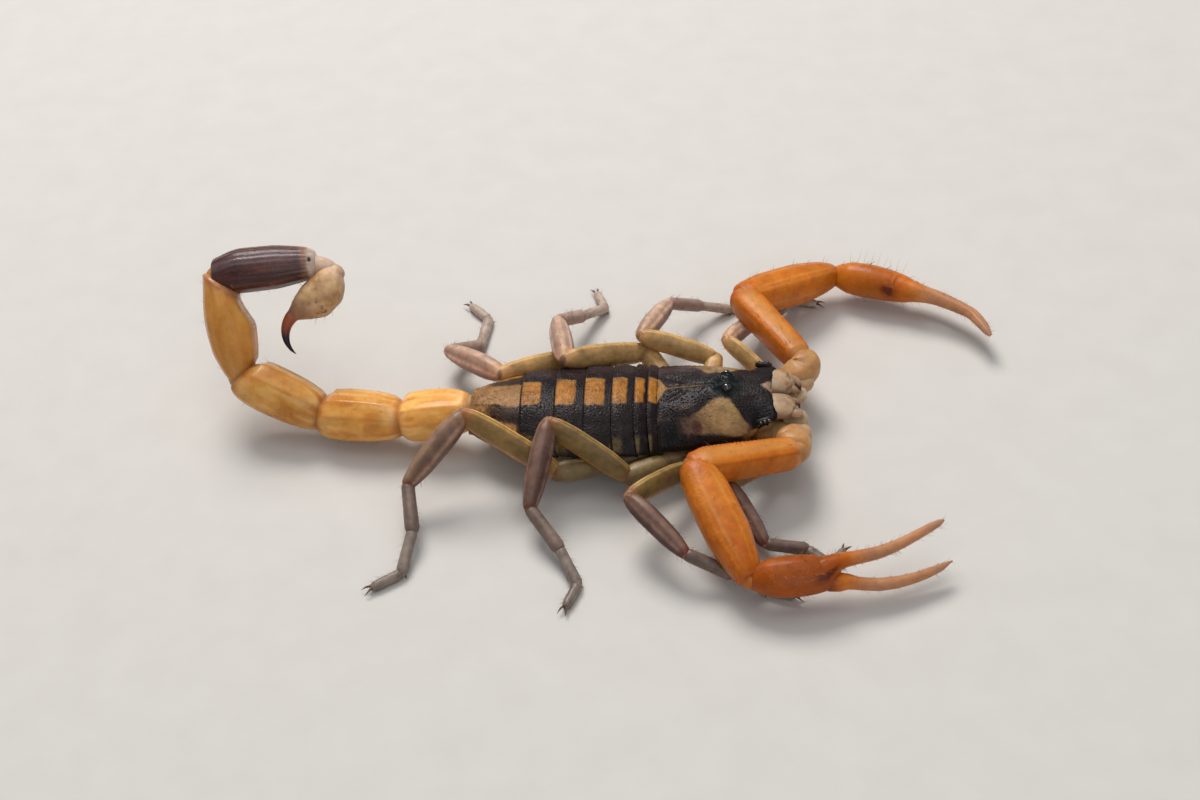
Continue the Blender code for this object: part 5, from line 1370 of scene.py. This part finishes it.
# telson: bulb and sting in one, the sting bending to the under side
dv, sv = Dt[4], St[4]
uv_ = np.cross(sv, dv)
fold = radians(TELSON_FOLD)
dt = unit(dv * cos(fold) + uv_ * sin(fold))
ut = np.cross(sv, dt)
J = P[5] + dv * TELSON_AT[0] + uv_ * TELSON_AT[1]
f = np.linspace(0, 1, 70)
lift = curve(((0, 0), (.10, -.10), (.32, -.22), (.58, -.22), (.82, -.06), (1, .10)), f)
w = curve(((0, .46), (.04, .60), (.12, .78), (.34, 1.0), (.56, 1.0), (.80, .72), (.94, .44), (1, .33)), f) * TELSON_HALF
Cb = J + np.outer(f * TELSON_LENGTH, dt) + np.outer(lift * TELSON_HALF, ut)
Ub = np.tile(ut, (70, 1))
tip = Cb[-1]
aa = radians(STING_ARC) * np.linspace(0, 1, 61)[1:]
Ca = tip + np.outer(STING_RADIUS * 1.04 * np.sin(aa), dt) - np.outer(STING_RADIUS * 1.04 * (1 - np.cos(aa)), ut)
Ua = np.outer(np.cos(aa), ut) + np.outer(np.sin(aa), dt)
q = np.linspace(0, 1, 61)[1:]
wa = 0.33 * TELSON_HALF * (1 - q) ** 0.85 + 0.016
C = np.vstack([Cb, Ca])
U = np.vstack([Ub, Ua])
W = np.concatenate([w * 0.94, wa])
H = np.concatenate([w, wa])
pre = J - np.outer(0.40 * np.cos(np.linspace(0, pi / 2, 6))[:-1], dt)
kq = np.maximum(np.sin(np.linspace(0, pi / 2, 6))[:-1], 0.05)
C = np.vstack([pre, C])
U = np.vstack([np.tile(ut, (5, 1)), U])
W, H = np.concatenate([W[0] * kq, W]), np.concatenate([H[0] * kq, H])
TT = np.concatenate([np.zeros(5), f * 0.6, 0.6 + 0.4 * q])
V, F, uu, th = sweep(C, np.tile(sv, (len(C), 1)), U, W, H, 88, 2.1,
                     lambda u_, q_: 0.02 * keel(q_, [180], 6) * smooth(0.1, 0.25, u_) * smooth(0.6, 0.45, u_))
Tv = np.concatenate([np.repeat(TT, 88), [0, 1]])
fine = fbm(V, 2.4, 99) - 0.5
c = np.broadcast_to(lin(0.54, 0.33, 0.16), (len(V), 3))
c = mixc(c, lin(0.60, 0.42, 0.25), smooth(0, 0.25, fine) * 0.5)
c = mixc(c, lin(0.36, 0.17, 0.07), smooth(0, -0.25, fine) * 0.6)
c = mixc(c, lin(0.26, 0.10, 0.06), smooth(0.40, 0.56, Tv + fine * 0.1) * 0.75)
c = mixc(c, lin(0.26, 0.055, 0.025), smooth(0.56, 0.66, Tv) * 0.95)
c = mixc(c, lin(0.36, 0.08, 0.03), smooth(0.60, 0.64, Tv) * smooth(0.74, 0.66, Tv) * 0.5)
c = mixc(c, lin(0.014, 0.006, 0.010), smooth(0.70, 0.84, Tv))
c = mixc(c, lin(0.62, 0.43, 0.31), smooth(0.12, 0.0, Tv + fine * 0.05) * 0.6)
red_at = V[np.argmin(np.linalg.norm(V - P[5], axis=1))]
c = mixc(c, lin(0.48, 0.11, 0.035), np.exp(-(np.linalg.norm(V - red_at, axis=1) / 0.26) ** 2) * 0.85)
spk = smooth(0.66, 0.76, noise3(V, 6.2, 120)) * smooth(0.28, 0.36, Tv) * smooth(0.52, 0.46, Tv) * smooth(0.1, -0.3, np.cos(th))
c = mixc(c, srgb(96, 56, 40), spk * 0.8)
Soup().add(V, F, c).make("telson_bulb_and_sting", M_CREAM, ["telson_vesicle", "telson_sting"], "cuticle_cream")
bristles((V, F, Tv, th), 34, 0.36, 0.012, srgb(190, 140, 96), region=lambda t_, q_: 0.06 < t_ < 0.5, d=dt, uv0=next_uv(), lean=0.5)
# soft link between the last ring and the bulb
Cl = arc_path([P[5] - dv * 0.2 + uv_ * 0.1, P[5] + dv * 0.55 + uv_ * 0.25, J + dt * 0.05], 20)
V, F, uu, th = tube_path(Cl, curve(((0, .74), (.5, .56), (1, .36)), np.linspace(0, 1, 20)), curve(((0, .70), (.5, .50), (1, .36)), np.linspace(0, 1, 20)), 32)
c = mixc(np.ones((len(V), 3)) * lin(0.60, 0.43, 0.33), lin(0.50, 0.30, 0.20), smooth(-0.1, 0.2, fbm(V, 2.2, 101) - 0.5) * 0.5)
MEMBRANE.add(V, F, mixc(c, lin(0.48, 0.11, 0.035), np.exp(-(np.linalg.norm(V - red_at, axis=1) / 0.34) ** 2) * 0.85))

# ----------------------------------------------------------------------
# the body's skin and belly plates
# ----------------------------------------------------------------------
xs = np.linspace(10.25, -7.95, 300)
rows = []
SK = 60
for x in xs:
    if x > 3.5:
        w_, zt_, ze_, zb_ = [float(curve(SHELL, x, c_)) for c_ in (1, 2, 3, 4)]
        top_z, edge_z, wide = zt_ - 0.30, ze_ - 0.06, w_ * 0.95
        low_w, low_z = w_ * (0.62 if x < 9 else 0.5), (1.62 if x < 9 else 2.4)
        mid_w, mid_z = w_ * 0.90, (2.05 if x < 9 else 2.9)
    else:
        w_, zt_, ze_, ws_, zs_, wb_, zb_ = [float(curve(TRUNK, x, c_)) for c_ in range(1, 8)]
        top_z, edge_z, wide = zt_ - 0.30, ze_ - 0.05, w_ * 0.955
        mid_w, mid_z = max(ws_ + 0.05, 0.0), zs_
        if x > -0.9:
            mid_w = lerp(w_ * 0.90, mid_w, smooth(3.5, 0.0, x) * 0.55)
        low_w, low_z = wb_ * 0.96, zb_ + 0.10
    half = [(0, top_z), (wide * 0.5, top_z - 0.12 * (top_z - edge_z) - 0.05), (wide * 0.86, edge_z + 0.42 * (top_z - edge_z)), (wide, edge_z),
            (lerp(wide, mid_w, 0.5), lerp(edge_z, mid_z, 0.5)), (mid_w, mid_z), (low_w, low_z), (low_w * 0.5, low_z - 0.04), (0, low_z - 0.05)]
    k_ = np.concatenate([[0], np.cumsum([np.hypot(b_[0] - a_[0], b_[1] - a_[1]) for a_, b_ in zip(half[:-1], half[1:])])])
    g_ = np.linspace(0, k_[-1], SK)
    yy = np.interp(g_, k_, [h_[0] for h_ in half])
    zz = np.interp(g_, k_, [h_[1] for h_ in half])
    # soft pleats along the flank
    fl = smooth(edge_z + 0.05, edge_z - 0.25, zz) * smooth(low_z, low_z + 0.35, zz)
    yy = yy + fl * 0.035 * np.sin(zz * 26 + np.sin(x * 1.7) * 0.8)
    rows.append(np.concatenate([np.stack([np.full(SK, x), yy, zz], -1), np.stack([np.full(SK, x), -yy, zz], -1)[::-1][1:-1]]))
R = np.array(rows)
for _ in range(3):
    R[:, :, 1:] = (R[:, :, 1:] * 2 + np.roll(R, 1, 1)[:, :, 1:] + np.roll(R, -1, 1)[:, :, 1:]) / 4
    R[1:-1, :, 1:] = (R[1:-1, :, 1:] * 2 + R[2:, :, 1:] + R[:-2, :, 1:]) / 4
n, m = R.shape[:2]
V = R.reshape(-1, 3)
i_ = np.arange(n - 1)[:, None] * m
j_ = np.arange(m)[None]
j2 = (j_ + 1) % m
quads = np.stack([i_ + j_, i_ + j2, i_ + m + j2, i_ + m + j_], -1).reshape(-1, 4)
e0, e1 = len(V), len(V) + 1
V = np.vstack([V, R[0].mean(0), R[-1].mean(0)])
jj = np.arange(m)
tris = np.vstack([np.stack([np.full(m, e0), (jj + 1) % m, jj], -1), np.stack([np.full(m, e1), (n - 1) * m + jj, (n - 1) * m + (jj + 1) % m], -1)])
fine = fbm(V, 1.4, 130) - 0.5
c = np.broadcast_to(lin(0.115, 0.086, 0.050), (len(V), 3))
c = mixc(c, SKIN_DK, smooth(0.0, 0.3, fine) * 0.7)
c = mixc(c, lin(0.19, 0.14, 0.08), smooth(0.0, -0.3, fine) * 0.6)
c = mixc(c, lin(0.38, 0.25, 0.12), smooth(8.5, 10.0, V[:, 0]) * 0.6)
# painted shade: the skin is darkened from 2.75 to 3.1 mm up, under the edges of the plates
c = mixc(c, lin(0.04, 0.026, 0.02), smooth(2.75, 3.1, V[:, 2]) * 0.7 * smooth(9, 8, V[:, 0]))
MEMBRANE.add(V, outward(V, [quads, tris]), c)
# whitish lobes between the pincer roots, above the mouth
for side in (-1, 1):
    V, F, T, th = podomere(v3(11.0, side * 1.15, 2.70), v3(11.98, side * 0.98, 2.78), ((0, .60), (.5, .82), (1, .62)), ((0, .42), (.5, .44), (1, .32)), end=0.7, m=32, step=0.05, power=2.4)
    MEMBRANE.add(V, F, mixc(np.ones((len(V), 3)) * lin(0.50, 0.38, 0.24), lin(0.36, 0.20, 0.09), smooth(0.0, 0.3, fbm(V, 2.0, 131) - 0.5) * 0.6))
MEMBRANE.make("membranes", M_SKIN)

# belly plates III to VII, with the slits of the book lungs
edges = ((1.30, -0.55), (-0.55, -2.30), (-2.30, -4.05), (-4.05, -5.70), (-5.70, -7.75))
for i, (fx, rx) in enumerate(edges):
    ns, nt = 110, max(24, int((fx - rx) / 0.05))
    s = np.linspace(-1, 1, ns)
    t = np.linspace(0, 1, nt)
    S, T = np.meshgrid(s, t)
    X = fx + 0.18 + (rx + 0.10 * np.abs(S) ** 3 - fx - 0.18) * T
    wb_, zb_ = curve(TRUNK, X, 6), curve(TRUNK, X, 7)
    ws_, zs_ = curve(TRUNK, X, 4), curve(TRUNK, X, 5)
    a_ = np.abs(S)
    wide = lerp(wb_, ws_, 0.85)
    Y = S * wide
    Z = zb_ + (zs_ - zb_) * np.clip((a_ - 0.62) / 0.38, 0, 1) ** 1.8 * 0.85
    Z = Z - 0.02 - 0.05 * smooth(0.2, 0.95, T) + 0.05 * smooth(0.95, 1.0, T)
    if i < 4:
        slit = np.exp(-(((np.abs(Y) - 0.62 * wide) * 0.9 + (X - (fx - 0.55 * (fx - rx))) * 0.35) / 0.22) ** 2 - ((X - (fx - 0.55 * (fx - rx))) / 0.055) ** 2)
    else:
        slit = X * 0
    Z = Z + 0.06 * slit
    Z = np.maximum(Z, curve(TRUNK, X, 7) - 0.06)
    top = np.stack([X, Y, Z], -1)
    bottom = top + np.array([0, 0, 0.10])
    V, F = shell_sheet(top, bottom)
    P2 = top.reshape(-1, 3)
    c = mixc(np.ones((len(P2), 3)) * srgb(160, 138, 98), srgb(116, 94, 64), smooth(0, 0.3, fbm(P2, 1.5, 140 + i) - 0.5) * 0.6)
    c = mixc(c, srgb(50, 34, 28), slit.reshape(-1) * 0.9)
    c = mixc(c, srgb(110, 84, 58), smooth(0.90, 1.0, T.reshape(-1)) * 0.5)
    Soup().add(V, F, np.vstack([c, c])).make("sternite_%d" % (i + 3), M_SKIN, (), "cuticle_olive")

HAIR.make("bristle_coat", M_HAIR, (), "cuticle_cream", uv=True)

# ----------------------------------------------------------------------
# floor, lights, camera
# ----------------------------------------------------------------------
me = bpy.data.meshes.new("studio_floor")
g = 1.2
me.from_pydata([(-g, -g, 0), (g, -g, 0), (g, g, 0), (-g, g, 0)], [], [(0, 1, 2, 3)])
floor = bpy.data.objects.new("studio_floor", me)
bpy.context.scene.collection.objects.link(floor)
m, nt, bs = new_material("floor_paper")
nz = nt.nodes.new("ShaderNodeTexNoise")
nz.inputs["Scale"].default_value = 900.0
nz.inputs["Detail"].default_value = 3.0
rp = nt.nodes.new("ShaderNodeValToRGB")
rp.color_ramp.elements[0].color = (0.60, 0.575, 0.54, 1)
rp.color_ramp.elements[1].color = (0.66, 0.635, 0.60, 1)
nt.links.new(nz.outputs["Fac"], rp.inputs["Fac"])
nt.links.new(rp.outputs["Color"], bs.inputs["Base Color"])
bs.inputs["Roughness"].default_value = 0.85
me.materials.append(m)

target = (v3(0, 0, 3.53) - CENTRE) * MM
EL, AZ, ROLL, DIST = radians(43.35), radians(6.0), radians(-4.81), 0.110
back = v3(sin(AZ) * cos(EL), -cos(AZ) * cos(EL), sin(EL))
fwd = -back
right = unit(np.cross(fwd, (0, 0, 1)))
upv = np.cross(right, fwd)
rr = right * cos(ROLL) + upv * sin(ROLL)
uu = -right * sin(ROLL) + upv * cos(ROLL)
cam_data = bpy.data.cameras.new("camera")
cam = bpy.data.objects.new("camera", cam_data)
bpy.context.scene.collection.objects.link(cam)
from mathutils import Matrix
M = Matrix.Identity(4)
loc = target + back * DIST
for q in range(3):
    M[q][0], M[q][1], M[q][2], M[q][3] = rr[q], uu[q], back[q], loc[q]
cam.matrix_world = M
cam_data.lens = 55.0
cam_data.sensor_width = 36.0
cam_data.clip_start = 0.005
cam_data.clip_end = 10.0
bpy.context.scene.camera = cam


def area(name, pos, aim, size, power, color=(1, 1, 1)):
    ld = bpy.data.lights.new(name, "AREA")
    ld.shape = "DISK"
    ld.size = size
    ld.energy = power
    ld.color = color
    ob = bpy.data.objects.new(name, ld)
    bpy.context.scene.collection.objects.link(ob)
    pos, aim = np.asarray(pos, float), np.asarray(aim, float)
    z = unit(pos - aim)
    x = unit(np.cross((0, 0, 1), z))
    y = np.cross(z, x)
    Mx = Matrix.Identity(4)
    for q in range(3):
        Mx[q][0], Mx[q][1], Mx[q][2], Mx[q][3] = x[q], y[q], z[q], pos[q]
    ob.matrix_world = Mx
    return ob


area("key_sky", (-0.06, 0.17, 0.26), (0, 0, 0), 0.16, 0.80, (1.0, 0.97, 0.93))
area("fill_front", (0.10, -0.28, 0.20), (0, 0, 0), 0.26, 0.22, (0.93, 0.96, 1.0))
area("top_soft", (0.02, 0.0, 0.36), (0, 0, 0), 0.30, 0.26, (0.96, 0.98, 1.0))
bpy.context.scene.view_settings.view_transform = "Standard"
world = bpy.data.worlds.new("studio")
bpy.context.scene.world = world
world.use_nodes = True
world.node_tree.nodes["Background"].inputs["Color"].default_value = (0.83, 0.84, 0.87, 1)
world.node_tree.nodes["Background"].inputs["Strength"].default_value = 0.32
